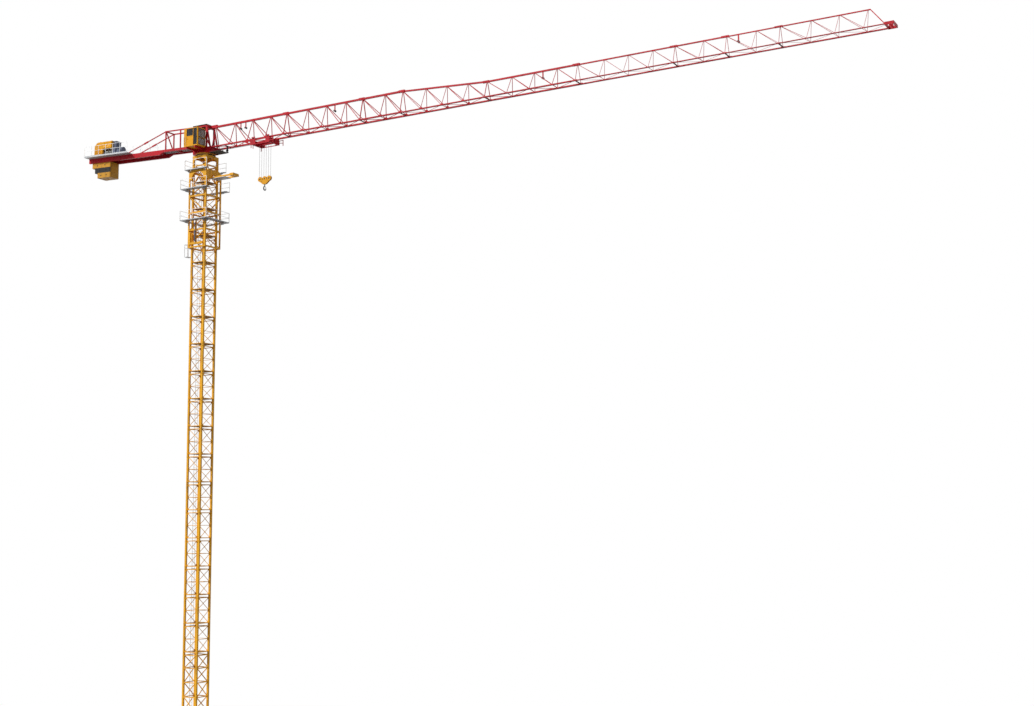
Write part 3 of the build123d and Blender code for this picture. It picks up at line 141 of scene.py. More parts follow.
class Finish:
    """A material, or the world, with its board of nodes."""

    def __init__(self, owner):
        owner.use_nodes = True
        self.owner = owner
        self.tree = owner.node_tree
        self.tree.nodes.clear()

    def node(self, kind, links=None, output=0, **settings):
        """Adds a node, sets it up, and links or fills its inputs; gives back one of its outputs."""
        node = self.tree.nodes.new("ShaderNode" + kind)
        for name, value in settings.items():
            setattr(node, name, value)
        for place, value in (links or {}).items():
            if isinstance(value, Signal):
                self.tree.links.new(value.socket, node.inputs[place])
            else:
                node.inputs[place].default_value = value
        return Signal(self, node.outputs[output]) if node.outputs else None

    def places(self, stretch=(1, 1, 1), turn=(0, 0, 0)):
        """Object coordinates, stretched and turned for a pattern."""
        there = self.node("TexCoord", output="Object")
        return self.node("Mapping", {"Vector": there, "Scale": stretch, "Rotation": turn})

    def noise(self, scale, detail, stretch=(1, 1, 1)):
        links = {"Vector": self.places(stretch), "Scale": scale, "Detail": detail, "Roughness": 0.6}
        return self.node("TexNoise", links)

    def mask(self, value, low, high):
        """0 below low, 1 above high, and a soft step between."""
        links = {"Value": value, "From Min": low, "From Max": high}
        return self.node("MapRange", links, interpolation_type="SMOOTHSTEP")

    def spots(self, scale, detail, low, high, stretch=(1, 1, 1)):
        """A mask of noise: the closer low and high are, the sharper the rims of the spots."""
        return self.mask(self.noise(scale, detail, stretch), low, high)

    def past(self, axis, line):
        """0 before a line along an axis of the crane, and 1 past it."""
        along = self.node("SeparateXYZ", {0: self.places()}, output=axis)
        return self.mask(along, line - PAINT_LINE, line + PAINT_LINE)

    def mix(self, mask, first, second):
        return self.node("Mix", {0: mask, 6: first, 7: second}, output=2, data_type="RGBA")

    def bump(self, height, distance, strength=0.6):
        links = {"Height": height, "Distance": distance, "Strength": strength}
        return self.node("Bump", links)

    def surface(self, **links):
        """The shader itself, with its sockets named with underscores for spaces."""
        sockets = {name.replace("_", " "): value for name, value in links.items()}
        shader = self.node("BsdfPrincipled", sockets)
        self.node("OutputMaterial", {"Surface": shader})
        return self.owner


def material(name):
    return Finish(bpy.data.materials.new(name))


def shade(red, green, blue):
    """A colour as a paint chart gives it, from 0 to 255, in the light values that shaders use."""
    light = [(part / 255 + 0.055) / 1.055 for part in (red, green, blue)]
    return (*[part**2.4 for part in light], 1)


print("shader maths ready")

# %% [markdown]
# ## Daylight
# Cranes are photographed in the open: one bright side, one in shade, and a white sky. A sun lamp with a
# wide angle gives the bright side and soft shadows, and the world lights the rest. The camera, mirrors and
# glass see pure white instead of the dimmer world that lights the crane, so nothing glares.

# %% Sun, sky and floor
SUN_FROM = Vector((-0.45, -0.78, 0.62))
SUN_STRENGTH = 2.7
SUN_ANGLE = 8
SKY_TINT = (0.93, 0.96, 1, 1)
SKY_STRENGTH = 0.5
WHITE = (1, 1, 1, 1)
FLOOR_PALE = (0.8, 0.8, 0.8, 1)
FLOOR_DULL = (0.25, 0.25, 0.25, 1)
FLOOR_HALF = 90
FLOOR_NEAR = 1.5
FLOOR_FAR = 3.0

bpy.context.scene.view_settings.view_transform = "Standard"
sun = bpy.data.objects.new("sun", bpy.data.lights.new("sun", "SUN"))
sun.data.energy = SUN_STRENGTH
sun.data.angle = math.radians(SUN_ANGLE)
sun.rotation_euler = SUN_FROM.to_track_quat("Z", "Y").to_euler()
bpy.context.scene.collection.objects.link(sun)


def seen(finish):
    """1 for rays from the camera, a mirror or a pane of glass, and 0 for the rays that light things."""
    kinds = ("Is Camera Ray", "Is Glossy Ray", "Is Transmission Ray")
    rays = [finish.node("LightPath", output=kind) for kind in kinds]
    return finish.mask(rays[0] + rays[1] + rays[2], 0, 1)


world = bpy.data.worlds.new("white sky")
bpy.context.scene.world = world
sky = Finish(world)
dim = sky.node("Background", {"Color": SKY_TINT, "Strength": SKY_STRENGTH})
white = sky.node("Background", {"Color": WHITE, "Strength": 1})
both = sky.node("MixShader", {0: seen(sky), 1: dim, 2: white})
sky.node("OutputWorld", {"Surface": both})

bpy.ops.object.select_all(action="DESELECT")
bpy.ops.mesh.primitive_plane_add(size=2 * FLOOR_HALF, location=(0, 0, cad_box[0][2]))
floor = bpy.context.object
floor.name = "floor"
ground = material("pale ground")
pale = ground.node("BsdfDiffuse", {"Color": FLOOR_PALE})
dull = ground.node("BsdfDiffuse", {"Color": FLOOR_DULL})
bounce = ground.node("LightPath", output="Is Diffuse Ray")
pale = ground.node("MixShader", {0: bounce, 1: pale, 2: dull})
glow = ground.node("Emission", {"Color": WHITE, "Strength": 1})
reach = ground.node("VectorMath", {0: ground.places()}, output="Value", operation="LENGTH")
fade = ground.mask(reach, FLOOR_NEAR, FLOOR_FAR) * seen(ground)
both = ground.node("MixShader", {0: fade, 1: pale, 2: glow})
ground.node("OutputMaterial", {"Surface": both})
floor.data.materials.append(ground.owner)
print("sun strength", SUN_STRENGTH, "sky strength", SKY_STRENGTH)

# %% [markdown]
# ## Paint
# A crane stands in the rain for years: its paint fades in patches, rain draws streaks of grime down the
# bars, and knocks leave chips where rust shows. Each is a noise pattern of its own size, turned into a mask
# that mixes colours and roughens the gloss. One function makes all the paints.

# %% Painted steel
RUST = shade(92, 52, 32)
GRIME = shade(70, 62, 54)
MAST_YELLOW = shade(243, 176, 38)
JIB_RED = shade(196, 14, 34)
BLACK, FADED_BLACK = shade(34, 33, 33), shade(46, 44, 42)
SLAB_END = ("X", -1.3895, shade(206, 148, 44))
TURNTABLE_TOP = ("Z", 6.3400, JIB_RED)


def painted(name, fresh, faded, grime, wear, gloss=0.45, band=None):
    """Gloss paint: faded patches, grime that runs down, chips, and perhaps a second colour past a line."""
    finish = material(name)
    patches = finish.spots(3.1, 5, 0.35, 0.7)
    streaks = finish.spots(26, 6, 0.5, 0.74, (1, 1, 0.22))
    chips = finish.spots(130, 5, 0.655, 0.68)
    colour = finish.mix(patches, fresh, faded)
    if band:
        axis, line, second = band
        colour = finish.mix(finish.past(axis, line), colour, second)
    colour = finish.mix(streaks * grime, colour, GRIME)
    colour = finish.mix(chips * wear, colour, RUST)
    return finish.surface(
        Base_Color=colour,
        Roughness=gloss + streaks * 0.25 + chips * 0.3,
        Specular_IOR_Level=0.2,
        Normal=finish.bump(finish.noise(420, 3) - chips * 0.5, 0.0003, 0.35),
    )


FINISHES = {
    "mast_paint": painted("mast yellow", MAST_YELLOW, shade(230, 166, 44), 0.5, 0.8),
    "jib_paint": painted("jib red", JIB_RED, shade(178, 16, 34), 0.32, 0.5),
    "cab_paint": painted("cab yellow", shade(234, 164, 18), shade(224, 156, 24), 0.3, 0.4, 0.38),
    "black_paint": painted("slab black", BLACK, FADED_BLACK, 0.3, 0.5, 0.5),
    "machine_grey": painted("machine grey", shade(100, 107, 128), shade(112, 117, 132), 0.35, 0.5),
    # Walkway tread painted dark: this is painted shade of walkways seen in shade from below.
    "tread": painted("tread plate darkened with painted shade", shade(52, 44, 40), shade(70, 60, 54), 0.4, 0.6, 0.65),
    "rest": painted("rest boards", shade(170, 128, 66), shade(150, 116, 66), 0.5, 0.6, 0.65),
    "joint": painted("joint bars", shade(84, 20, 28), shade(66, 22, 26), 0.5, 0.8, 0.6),
    "weight": painted("counterweight yellow", shade(212, 152, 42), shade(196, 142, 48), 0.6, 0.8),
    "rubber": painted("rubber", shade(26, 26, 28), shade(40, 40, 41), 0.2, 0.0, 0.6),
    "slab": painted("slab black with a yellow end", BLACK, FADED_BLACK, 0.3, 0.5, 0.5, SLAB_END),
    "turntable": painted(
        "turntable yellow and red", MAST_YELLOW, shade(222, 156, 36), 0.4, 0.6, 0.45, TURNTABLE_TOP
    ),
}
print("paints", sorted(FINISHES))

# %% [markdown]
# ## Bare metal, rope and glass
# Gratings and handrails are dipped in zinc, which dries in a mosaic of grey flakes: a Voronoi pattern gives
# each flake its value. Pins, wheels and hooks are dark greased steel. Tinted glass is a smooth dark surface
# that lets a little light through. The front screen is painted paler: that is a painted reflection on its
# glass.

# %% Zinc, greased steel, rope and tinted glass
# Where the front screen starts: its paler glass there is a painted reflection.
PAINTED_REFLECTION_FROM = 0.068


def zinc(name, dull, bright):
    finish = material(name)
    cells = {"Vector": finish.places(), "Scale": 120.0}
    flakes = finish.node("TexVoronoi", cells, output="Color")
    flake = finish.node("SeparateColor", {0: flakes})
    dirt = finish.spots(18, 6, 0.5, 0.75)
    colour = finish.mix(flake, dull, bright)
    return finish.surface(
        Base_Color=finish.mix(dirt * 0.45, colour, shade(104, 98, 90)),
        Roughness=0.42 + flake * 0.15 + dirt * 0.2,
        Metallic=0.2,
        Normal=finish.bump(finish.noise(300, 3), 0.0004),
    )


def greased(name, colour, dusty):
    finish = material(name)
    dust = finish.spots(34, 6, 0.46, 0.72)
    return finish.surface(
        Base_Color=finish.mix(dust * 0.6, colour, dusty),
        Roughness=0.34 + dust * 0.35,
        Metallic=0.55,
        Normal=finish.bump(finish.noise(500, 3), 0.0004),
    )


def wire_rope(name):
    """Steel wire: fine slanted wires across the strands."""
    finish = material(name)
    slanted = finish.places((1, 1, 0.6), (0, 0.6, 0.4))
    wires = finish.node("TexWave", {"Vector": slanted, "Scale": 260.0, "Distortion": 0.6})
    wires = finish.node("SeparateColor", {0: wires})
    grease = finish.spots(60, 4, 0.45, 0.7)
    return finish.surface(
        Base_Color=finish.mix(wires * 0.7 + grease * 0.2, shade(150, 150, 148), shade(84, 82, 78)),
        Roughness=0.4 + grease * 0.3,
        Metallic=0.5,
        Normal=finish.bump(wires, 0.0006),
    )


def tinted(name, screen):
    """Dark glass with a film of dust, and paler glass in front of this distance along X: a painted
    reflection.
    """
    finish = material(name)
    film = finish.spots(14, 5, 0.45, 0.8, (1, 1, 0.4))
    # Past that line the glass is paler: a painted reflection on the front screen.
    pale = finish.past("X", screen)
    dark = finish.mix(film, shade(20, 22, 26), shade(46, 48, 52))
    # The pale colours of the front screen are a painted reflection.
    clear = finish.mix(film, shade(136, 126, 118), shade(160, 150, 140))
    return finish.surface(
        Base_Color=finish.mix(pale, dark, clear),
        Roughness=0.04 + film * 0.1,
        Alpha=0.84 + film * 0.1 - pale * 0.1,
    )


FINISHES["grating"] = zinc("zinc grey", shade(176, 178, 180), shade(200, 202, 203))
FINISHES["rail"] = zinc("bright zinc", shade(238, 239, 240), shade(248, 248, 248))
# The platform boards are a darker zinc: painted shade for their shaded undersides.
FINISHES["boards"] = zinc("zinc darkened with painted shade", shade(142, 143, 148), shade(166, 167, 171))
FINISHES["dark_steel"] = greased("greased steel", shade(38, 38, 42), shade(80, 76, 70))
FINISHES["rope"] = wire_rope("wire rope")
FINISHES["glass"] = tinted("tinted glass with a painted reflection in front", PAINTED_REFLECTION_FROM)
print("finishes", len(FINISHES))

# %% [markdown]
# ## Dress the solid model
# The record names a slot for every solid piece, and the piece takes the finish of that name. A few have a
# finish of their own within their slot: bright new handrails, platform boards and walkways painted darker
# as painted shade, and pieces painted in two colours.

# %% Finishes on the solid pieces
OWN_FINISHES = {
    "platform_rails": "rail",
    # The boards' darker zinc is painted shade.
    "platform_upper": "boards",
    "platform_middle": "boards",
    "platform_lower": "boards",
    "deck_rails": "rail",
    # The walkways' dark tread is painted shade.
    "front_walkway": "tread",
    "head_platform": "tread",
    "ballast_lower": "weight",
    "ballast_middle": "slab",
    "ballast_upper": "weight",
    "slewing_platform": "turntable",
}
for part in frame["record"]["subparts"]:
    node = frame["nodes"][part["node"]]
    node.data.materials.clear()
    node.data.materials.append(FINISHES[OWN_FINISHES.get(part["node"], part["material_slot"])])

# %% [markdown]
# ## Bench tools
# Modelling repeats a few moves: add a primitive, go into edit mode, choose faces, come out again. Each
# becomes a small function. Everything is deselected before a primitive is added, because an operator works
# on all that is selected, and its place goes into its mesh at once, so every finished piece keeps the
# crane's origin.

# %% Choose, begin and leave
FACING = 0.9
MERGE_WITHIN = 1e-6


def choose(*pieces):
    """Selects these pieces and nothing else, the first one active."""
    bpy.ops.object.select_all(action="DESELECT")
    for piece in pieces:
        piece.select_set(True)
    bpy.context.view_layer.objects.active = pieces[0]


def begin(kind, **sizes):
    """Adds a primitive and puts its place into its mesh."""
    bpy.ops.object.select_all(action="DESELECT")
    getattr(bpy.ops.mesh, f"primitive_{kind}_add")(**sizes)
    bpy.ops.object.transform_apply(location=True, rotation=True, scale=True)
    return bpy.context.object


def pick(piece, test):
    """Edit mode, with only the faces selected that pass a test on their middle and normal."""
    choose(piece)
    bpy.ops.object.mode_set(mode="EDIT")
    bpy.ops.mesh.select_mode(type="FACE")
    bpy.ops.mesh.select_all(action="DESELECT")
    bpy.ops.object.mode_set(mode="OBJECT")
    for face in piece.data.polygons:
        face.select = test(face.center, face.normal)
    bpy.ops.object.mode_set(mode="EDIT")


def pick_all(piece, kind="FACE"):
    choose(piece)
    bpy.ops.object.mode_set(mode="EDIT")
    bpy.ops.mesh.select_mode(type=kind)
    bpy.ops.mesh.select_all(action="SELECT")


def leave(outward=False):
    """Back to object mode; a spun or swept shape first gets its faces turned outward."""
    if outward:
        bpy.ops.mesh.select_all(action="SELECT")
        bpy.ops.mesh.normals_make_consistent(inside=False)
    bpy.ops.object.mode_set(mode="OBJECT")


def merged(piece, outward=False):
    """Joins the corners that lie on one another."""
    pick_all(piece)
    bpy.ops.mesh.remove_doubles(threshold=MERGE_WITHIN)
    leave(outward)


def capped(piece):
    """Fills the open ends of a swept shape."""
    pick_all(piece, "EDGE")
    bpy.ops.mesh.fill_holes(sides=0)
    leave(outward=True)
    return piece


print("corners merge within", MERGE_WITHIN, "m")

# %% [markdown]
# ## Stock
# A steel yard sells bars, rods and plates, and most of what follows is cut from these. A bar is a cube with
# bevelled edges, a rod is a cylinder with its ends drawn in, a plate is an outline filled and pulled out,
# and a turned piece is an outline spun round an axis.

# %% Bars, rods, plates and turned pieces
SOFT_EDGE = 0.0005
END_INSET = 0.2
END_PROUD = 0.12


def bar(low, high, edge=SOFT_EDGE):
    """A bar between two corners."""
    low, high = Vector(low), Vector(high)
    piece = begin("cube", size=1, location=(low + high) / 2, scale=high - low)
    pick_all(piece, "EDGE")
    bpy.ops.mesh.bevel(offset=edge, segments=1)
    leave()
    return piece


def rod(start, end, radius, sides=8):
    """A round or hexagonal bar from one point to another, its ends drawn in."""
    start, end = Vector(start), Vector(end)
    run = end - start
    turn = run.to_track_quat("Z", "Y").to_euler()
    middle = (start + end) / 2
    piece = begin("cylinder", vertices=sides, radius=radius, depth=run.length, location=middle, rotation=turn)
    pick(piece, lambda centre, normal: abs(normal.dot(run.normalized())) > FACING)
    bpy.ops.mesh.inset(thickness=radius * END_INSET, depth=radius * END_PROUD, use_individual=True)
    leave()
    return piece


def outlined(points, fill):
    piece = begin("circle", vertices=len(points), radius=1, fill_type=fill)
    for vertex, point in zip(piece.data.vertices, points):
        vertex.co = point
    return piece


def plate(points, thick):
    """A flat plate with this outline, pulled out along a vector."""
    piece = outlined(points, "NGON")
    pick_all(piece)
    bpy.ops.mesh.extrude_region_move(TRANSFORM_OT_translate={"value": thick})
    leave(outward=True)
    return piece


def spun(points, centre, axis, steps, angle=math.tau):
    """A closed outline turned round an axis; a part turn gets its two ends filled."""
    piece = outlined(points, "NOTHING")
    pick_all(piece, "EDGE")
    bpy.ops.mesh.spin(steps=steps, angle=angle, center=centre, axis=axis)
    bpy.ops.mesh.select_all(action="SELECT")
    bpy.ops.mesh.remove_doubles(threshold=MERGE_WITHIN)
    if angle < math.tau:
        bpy.ops.mesh.select_all(action="SELECT")
        bpy.ops.mesh.fill_holes(sides=0)
    leave(outward=True)
    return piece


print("soft edges of", SOFT_EDGE * 1000, "mm")

# %% [markdown]
# ## Rows, copies and finishing
# A crane is full of things that come by the dozen, so each is modelled once. An Array modifier sets it out
# in a row, a Mirror modifier gives the other side, and a copy with its own mesh goes anywhere else. A
# finished piece is named, smoothed, painted and told which moving part of the crane carries it.

# %% Rows, mirrors, copies and dressing
QUARTERS = [Matrix.Rotation(math.radians(angle), 4, "Z") for angle in (0, 90, 180, 270)]
SMOOTH_BELOW = math.radians(35)


def shaped(piece, kind, **settings):
    """Adds a modifier and applies it."""
    choose(piece)
    modifier = piece.modifiers.new(kind, kind)
    for name, value in settings.items():
        setattr(modifier, name, value)
    bpy.ops.object.modifier_apply(modifier=modifier.name)
    return piece


def row(piece, count, step):
    offset = {"use_relative_offset": False, "use_constant_offset": True, "constant_offset_displace": step}
    return shaped(piece, "ARRAY", count=count, **offset)


def mirrored(piece, across_x=False, across_y=True):
    """Adds the mirror image on the other side of the crane's middle planes."""
    shaped(piece, "MIRROR", use_axis=(across_x, across_y, False), use_mirror_merge=False)
    pick_all(piece)
    leave(outward=True)
    return piece


def joined(pieces):
    choose(*pieces)
    bpy.ops.object.join()
    return pieces[0]


def moved(piece, move):
    """Moves the mesh of a piece, so that the piece's origin stays where it is."""
    piece.data.transform(move)
    return piece


def copies(piece, moves):
    """One piece made of copies of a pattern, each with its own mesh moved by one of the matrices."""
    made = []
    for move in moves:
        copy = piece.copy()
        copy.data = piece.data.copy()
        bpy.context.scene.collection.objects.link(copy)
        made.append(moved(copy, move))
    bpy.data.objects.remove(piece)
    return joined(made)


def placed(piece, places):
    """Copies of a pattern at these places."""
    return copies(piece, [Matrix.Translation(place) for place in places])


def ringed(piece, count, axis):
    """Copies of a pattern all round an axis."""
    return copies(piece, [Matrix.Rotation(math.tau * place / count, 4, axis) for place in range(count)])


def painted_as(piece, name, slot, finish=None):
    """Names a finished piece and gives it its paint, without a body to ride on yet."""
    piece.name = name
    piece.data.name = name
    piece.data.materials.clear()
    piece.data.materials.append(FINISHES[finish or slot])
    choose(piece)
    bpy.ops.object.shade_smooth_by_angle(angle=SMOOTH_BELOW)
    print(name, len(piece.data.polygons), "faces")
    return piece


def fitted(piece, name, body, slot, finish=None):
    """Names and paints a finished piece and lets it ride on a body."""
    painted_as(piece, name, slot, finish)
    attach(piece, body)
    return piece


print("rows, mirrors and copies ready")

# %% [markdown]
# ## Cutting lists
# A workshop cuts small parts from a list in millimetres, measured from one place on the job. Each row here
# gives the two ends of a bar or rod, then its bevel, or its radius and number of sides. Turned pieces have
# lists of distances out from the axis and along it.

# %% Pieces from lists in millimetres
ORIGIN = (0, 0, 0)


def two_ends(origin, entry):
    """The two places at the head of a list's row, measured from an origin."""
    return [Vector(origin) + Vector(entry[first : first + 3]) / 1000 for first in (0, 3)]


def bars(origin, *entries):
    """One piece of bars: two corners each, and perhaps a bevel of their own."""
    return joined([bar(*two_ends(origin, entry), *[edge / 1000 for edge in entry[6:]]) for entry in entries])


def rods(origin, *entries):
    """One piece of rods: two ends each, a radius, and perhaps a number of sides."""
    return joined([rod(*two_ends(origin, entry), entry[6] / 1000, *entry[7:]) for entry in entries])


def stud(near, far, radius, sides=6):
    """A nut or pin across the crane, between two distances from its middle."""
    return rods(ORIGIN, (0, -near, 0, 0, -far, 0, radius, sides))


def turned(outline, axis, steps):
    """An outline of distances out from an axis and along it, spun all the way round."""
    along_axis = "XYZ".index(axis)
    out_axis = 0 if along_axis else 2
    points = []
    for out, along in outline:
        point = Vector(ORIGIN)
        point[along_axis] = along / 1000
        point[out_axis] = out / 1000
        points.append(point)
    return spun(points, ORIGIN, Matrix.Identity(3)[along_axis], steps)


print("cutting lists ready")

# %% [markdown]
# ## Hoist rope
# The load hangs on six falls of wire rope, and such a rope is six strands laid round a core. A star-shaped
# outline, swept along while it turns, gives all the strands in one sweep of the Screw modifier. The falls
# grow when the hook goes down; here they are made at one length, between the trolley and the block.

# %% Falls of wire rope
ROPE_RADIUS = 0.0015
ROPE_PATH = 0.0155
HOOK_X = 0.847
TROLLEY_LEVEL = 6.3423
BLOCK_LEVEL = 5.9553
TROLLEY_SHEAVES = (0.754, 0.816, 0.878, 0.940)
BLOCK_SHEAVES = (0.785, HOOK_X, 0.909)
FALLS = [(x + side * ROPE_PATH, 0, BLOCK_LEVEL) for x in BLOCK_SHEAVES for side in (-1, 1)]
FALL_LAY = 0.018
STRAND_POINTS = 12
STRAND_HOLLOW = 0.74
RINGS_PER_TURN = 8


def wire(length, lay):
    """A rope upwards from the origin; its strands go once round in each length of lay."""
    piece = begin("circle", vertices=STRAND_POINTS, radius=ROPE_RADIUS)
    for place, vertex in enumerate(piece.data.vertices):
        vertex.co *= STRAND_HOLLOW if place % 2 else 1
    rings = round(length / lay * RINGS_PER_TURN)
    turn = math.tau * length / lay
    shaped(piece, "SCREW", axis="Z", angle=turn, screw_offset=length, steps=rings, render_steps=rings)
    return capped(piece)


falls = painted_as(placed(wire(TROLLEY_LEVEL - BLOCK_LEVEL, FALL_LAY), FALLS), "rope_falls", "rope")
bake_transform(falls)
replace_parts(falls, "hoist_falls")

# %% [markdown]
# ## Rope round the sheaves
# Between two falls the rope lies in a sheave's groove for half a turn, over the top on the trolley and
# underneath in the block. Each bend is a small circle spun through part of a turn.

# %% Bends of rope
ROPE_SIDES = 8
ROPE_TURNS = [math.tau * place / ROPE_SIDES for place in range(ROPE_SIDES)]
BEND_STEPS = 14


def bend(x, level, angle, start_side):
    """Rope in a sheave's groove, from the side where a fall meets it."""
    start = Vector((x + start_side * ROPE_PATH, 0, level))
    ring = [start + Vector((math.cos(turn), math.sin(turn), 0)) * ROPE_RADIUS for turn in ROPE_TURNS]
    return spun(ring, (x, 0, level), (0, 1, 0), BEND_STEPS, angle)


over = [bend(x, TROLLEY_LEVEL, -math.pi, 1) for x in TROLLEY_SHEAVES[1:3]]
over.append(bend(TROLLEY_SHEAVES[0], TROLLEY_LEVEL, -math.pi / 2, 1))
over.append(bend(TROLLEY_SHEAVES[3], TROLLEY_LEVEL, math.pi / 2, -1))
fitted(joined(over), "rope_over_trolley", "trolley", "rope")
under = [bend(x, BLOCK_LEVEL, math.pi, 1) for x in BLOCK_SHEAVES]
fitted(joined(under), "rope_under_block", "hook_block", "rope")

# %% [markdown]
# ## Sheaves
# A sheave is a grooved wheel on a pin: a boss, a thin web, and a rim that holds the rope. Half of its
# cross-section is drawn as points and spun round the pin.

# %% Grooved sheaves
SHEAVE_OUTLINE = (
    *((2.4, -4), (5.5, -4), (5.5, -1.4), (11, -1.4), (12, -3), (16.4, -3), (16.6, -2.2), (14.2, 0)),
    *((16.6, 2.2), (16.4, 3), (12, 3), (11, 1.4), (5.5, 1.4), (5.5, 4), (2.4, 4)),
)
SHEAVE_STEPS = 32
SHEAVE_PIN = (6.2, -6.2, 2.5, 12)


def sheaves(places):
    return placed(joined([turned(SHEAVE_OUTLINE, "Y", SHEAVE_STEPS), stud(*SHEAVE_PIN)]), places)


on_trolley = sheaves([(x, 0, TROLLEY_LEVEL) for x in TROLLEY_SHEAVES])
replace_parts(fitted(on_trolley, "trolley_grooved_sheaves", "trolley", "dark_steel"), "trolley_sheaves")
in_block = sheaves([(x, 0, BLOCK_LEVEL) for x in BLOCK_SHEAVES])
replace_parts(fitted(in_block, "block_grooved_sheaves", "hook_block", "dark_steel"), "hook_block_sheaves")

# %% [markdown]
# ## Trolley wheels
# The trolley hangs on four wheels that run on the lower flanges of the jib. Each has a flange on the
# outside, so it can't leave the rail. The cap of its bearing shows outside the trolley's side plate, with a
# nut on it and four bolts below. A wheel is turned and its nuts are rods; both are copied and mirrored.

# %% Flanged wheels and axle caps
WHEEL_PLACES = [(x, 0, 6.3996) for x in (0.749, 0.945)]
WHEEL_OUTLINE = (
    *((2.4, -69.2), (8.2, -69.2), (9.0, -70.0), (9.0, -75.6), (11.4, -76.0), (11.4, -77.2), (6.2, -77.2)),
    *((5.4, -76.4), (2.4, -76.4)),
)
WHEEL_STEPS = 28
WHEEL_STUB = (69.2, 81.2, 2.7, 12)
WHEEL_NUT = (76.9, 79.2, 4.6)
CAP_DISC = (86.8, 88.6, 8.5, 20)
CAP_NUT = (88.4, 91.2, 4.6)
CAP_BOLT = (86.8, 88.6, 2.2)
CAP_BOLT_PLACES = [(x, 0, z) for x in (-0.015, 0.015) for z in (-0.034, -0.024)]

wheel = joined([turned(WHEEL_OUTLINE, "Y", WHEEL_STEPS), stud(*WHEEL_STUB), stud(*WHEEL_NUT)])
wheels = fitted(mirrored(placed(wheel, WHEEL_PLACES)), "trolley_flanged_wheels", "trolley", "dark_steel")
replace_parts(wheels, "trolley_wheels")
cap = joined([stud(*CAP_DISC), stud(*CAP_NUT), placed(stud(*CAP_BOLT), CAP_BOLT_PLACES)])
fitted(mirrored(placed(cap, WHEEL_PLACES)), "trolley_axle_caps", "trolley", "dark_steel")

# %% [markdown]
# ## Hook
# A crane hook is forged from one bar: a straight shank, a heavy curve, and a tip that thins out. A curve
# with a round bevel follows its middle line, the radius at each point gives the taper, and the curve is
# then made a mesh. A nut holds the shank in the block, and a sprung latch closes the mouth.

# %% Forged hook with nut and latch
HOOK_CENTRE = Vector((HOOK_X, 0, 5.8483))
HOOK_LINE = (
    *((0.0, 66.0, 4.0), (0.0, 44.0, 4.0), (0.0, 34.0, 4.8), (-3.0, 26.5, 5.6), (-10.0, 20.5, 5.8)),
    *((-16.0, 12.0, 6.0), (-18.6, 1.0, 6.2), (-16.6, -9.5, 6.4), (-9.5, -17.0, 6.4), (0.5, -19.2, 6.2)),
    *((10.0, -16.6, 5.5), (16.6, -9.5, 4.7), (19.2, 0.0, 3.8), (19.4, 8.0, 2.9), (17.6, 14.0, 2.0)),
)
HOOK_NUT = (0, 0, 63.4, 0, 0, 70.4, 6.9, 6)
LATCH = ((-1.6, 1, 27), (-1.6, 15.5, 11), (-1.6, 17.5, 12.5), (-1.6, 5, 29))
LATCH_THICK = (0.0032, 0, 0)
COLLAR = ((3.5, 40), (6.2, 41), (6.2, 45.5), (3.5, 46.5))
COLLAR_STEPS = 20

line = bpy.data.curves.new("hook line", "CURVE")
line.dimensions = "3D"
line.bevel_depth = 0.001
line.bevel_resolution = 4
line.use_fill_caps = True
spline = line.splines.new("NURBS")
spline.points.add(len(HOOK_LINE) - 1)
for point, (across, rise, thick) in zip(spline.points, HOOK_LINE):
    point.co = (*(HOOK_CENTRE + Vector((0, across, rise)) / 1000), 1)
    point.radius = thick
spline.order_u = 4
spline.use_endpoint_u = True
spline.resolution_u = 4
forged = bpy.data.objects.new("forged", line)
bpy.context.scene.collection.objects.link(forged)
choose(forged)
bpy.ops.object.convert(target="MESH")
forged = bpy.context.object
merged(forged, outward=True)
latch = plate([HOOK_CENTRE + Vector(point) / 1000 for point in LATCH], LATCH_THICK)
collar = moved(turned(COLLAR, "Z", COLLAR_STEPS), Matrix.Translation(HOOK_CENTRE))
whole_hook = joined([forged, rods(HOOK_CENTRE, HOOK_NUT), latch, collar])
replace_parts(fitted(whole_hook, "forged_hook", "hook", "dark_steel"), "hook")

# %% [markdown]
# ## Block fittings
# The pins of the block end in nuts on round keeper plates outside its cheeks, and two long bolts with
# spacers hold the cheeks apart. All are rods across the crane, so they come from short lists.

# %% Nuts and spacers of the hook block
PIN_PLACES = [(x, 0, BLOCK_LEVEL) for x in BLOCK_SHEAVES]
SPACER_PLACES = [(x, 0, BLOCK_LEVEL - 0.026) for x in (0.806, 0.888)]
KEEPER = (9.8, 11.2, 8.5, 16)
PIN_NUT = (11.0, 13.8, 5.2)
SPACER_NUT = (9.8, 12.2, 2.8)
SPACER = (7, -7, 2, 8)

pin_nuts = placed(joined([stud(*KEEPER), stud(*PIN_NUT)]), PIN_PLACES)
nuts = mirrored(joined([pin_nuts, placed(stud(*SPACER_NUT), SPACER_PLACES)]))
spacers = placed(stud(*SPACER), SPACER_PLACES)
fitted(joined([nuts, spacers]), "block_fittings", "hook_block", "dark_steel")

# %% [markdown]
# ## Bracing of the mast
# The faces of a mast are braced with steel tube. The solid model has flat bars on the same lines, and tubes
# take their place: a stout ring at each end of a section, a thin bar half way, and two diagonals. One
# section of one face is modelled, set out up the mast, and turned round to the other faces.

# %% Tubes on the faces of the mast
FIRST_JOINT = 0.9
SECTION = 0.3
SECTIONS = 17
BAY_HALF = 0.0805
FACE_Y = -0.092
RING_RISE = 0.0165
RING_TUBE = 0.0042
MIDDLE_TUBE = 0.0025
DIAGONAL_TUBE = 0.0031
HEAVY_TUBE = 0.0052
HEAVY_LEVELS = (0.8835, 0.75, 0.60, 0.45, 0.30, 0.15, 0.0555)


def tube(start, end, radius):
    """A tube on the face, between two places given across and up."""
    return rod((start[0], FACE_Y, start[1]), (end[0], FACE_Y, end[1]), radius)


def level_tube(level, radius):
    return tube((-BAY_HALF, level), (BAY_HALF, level), radius)


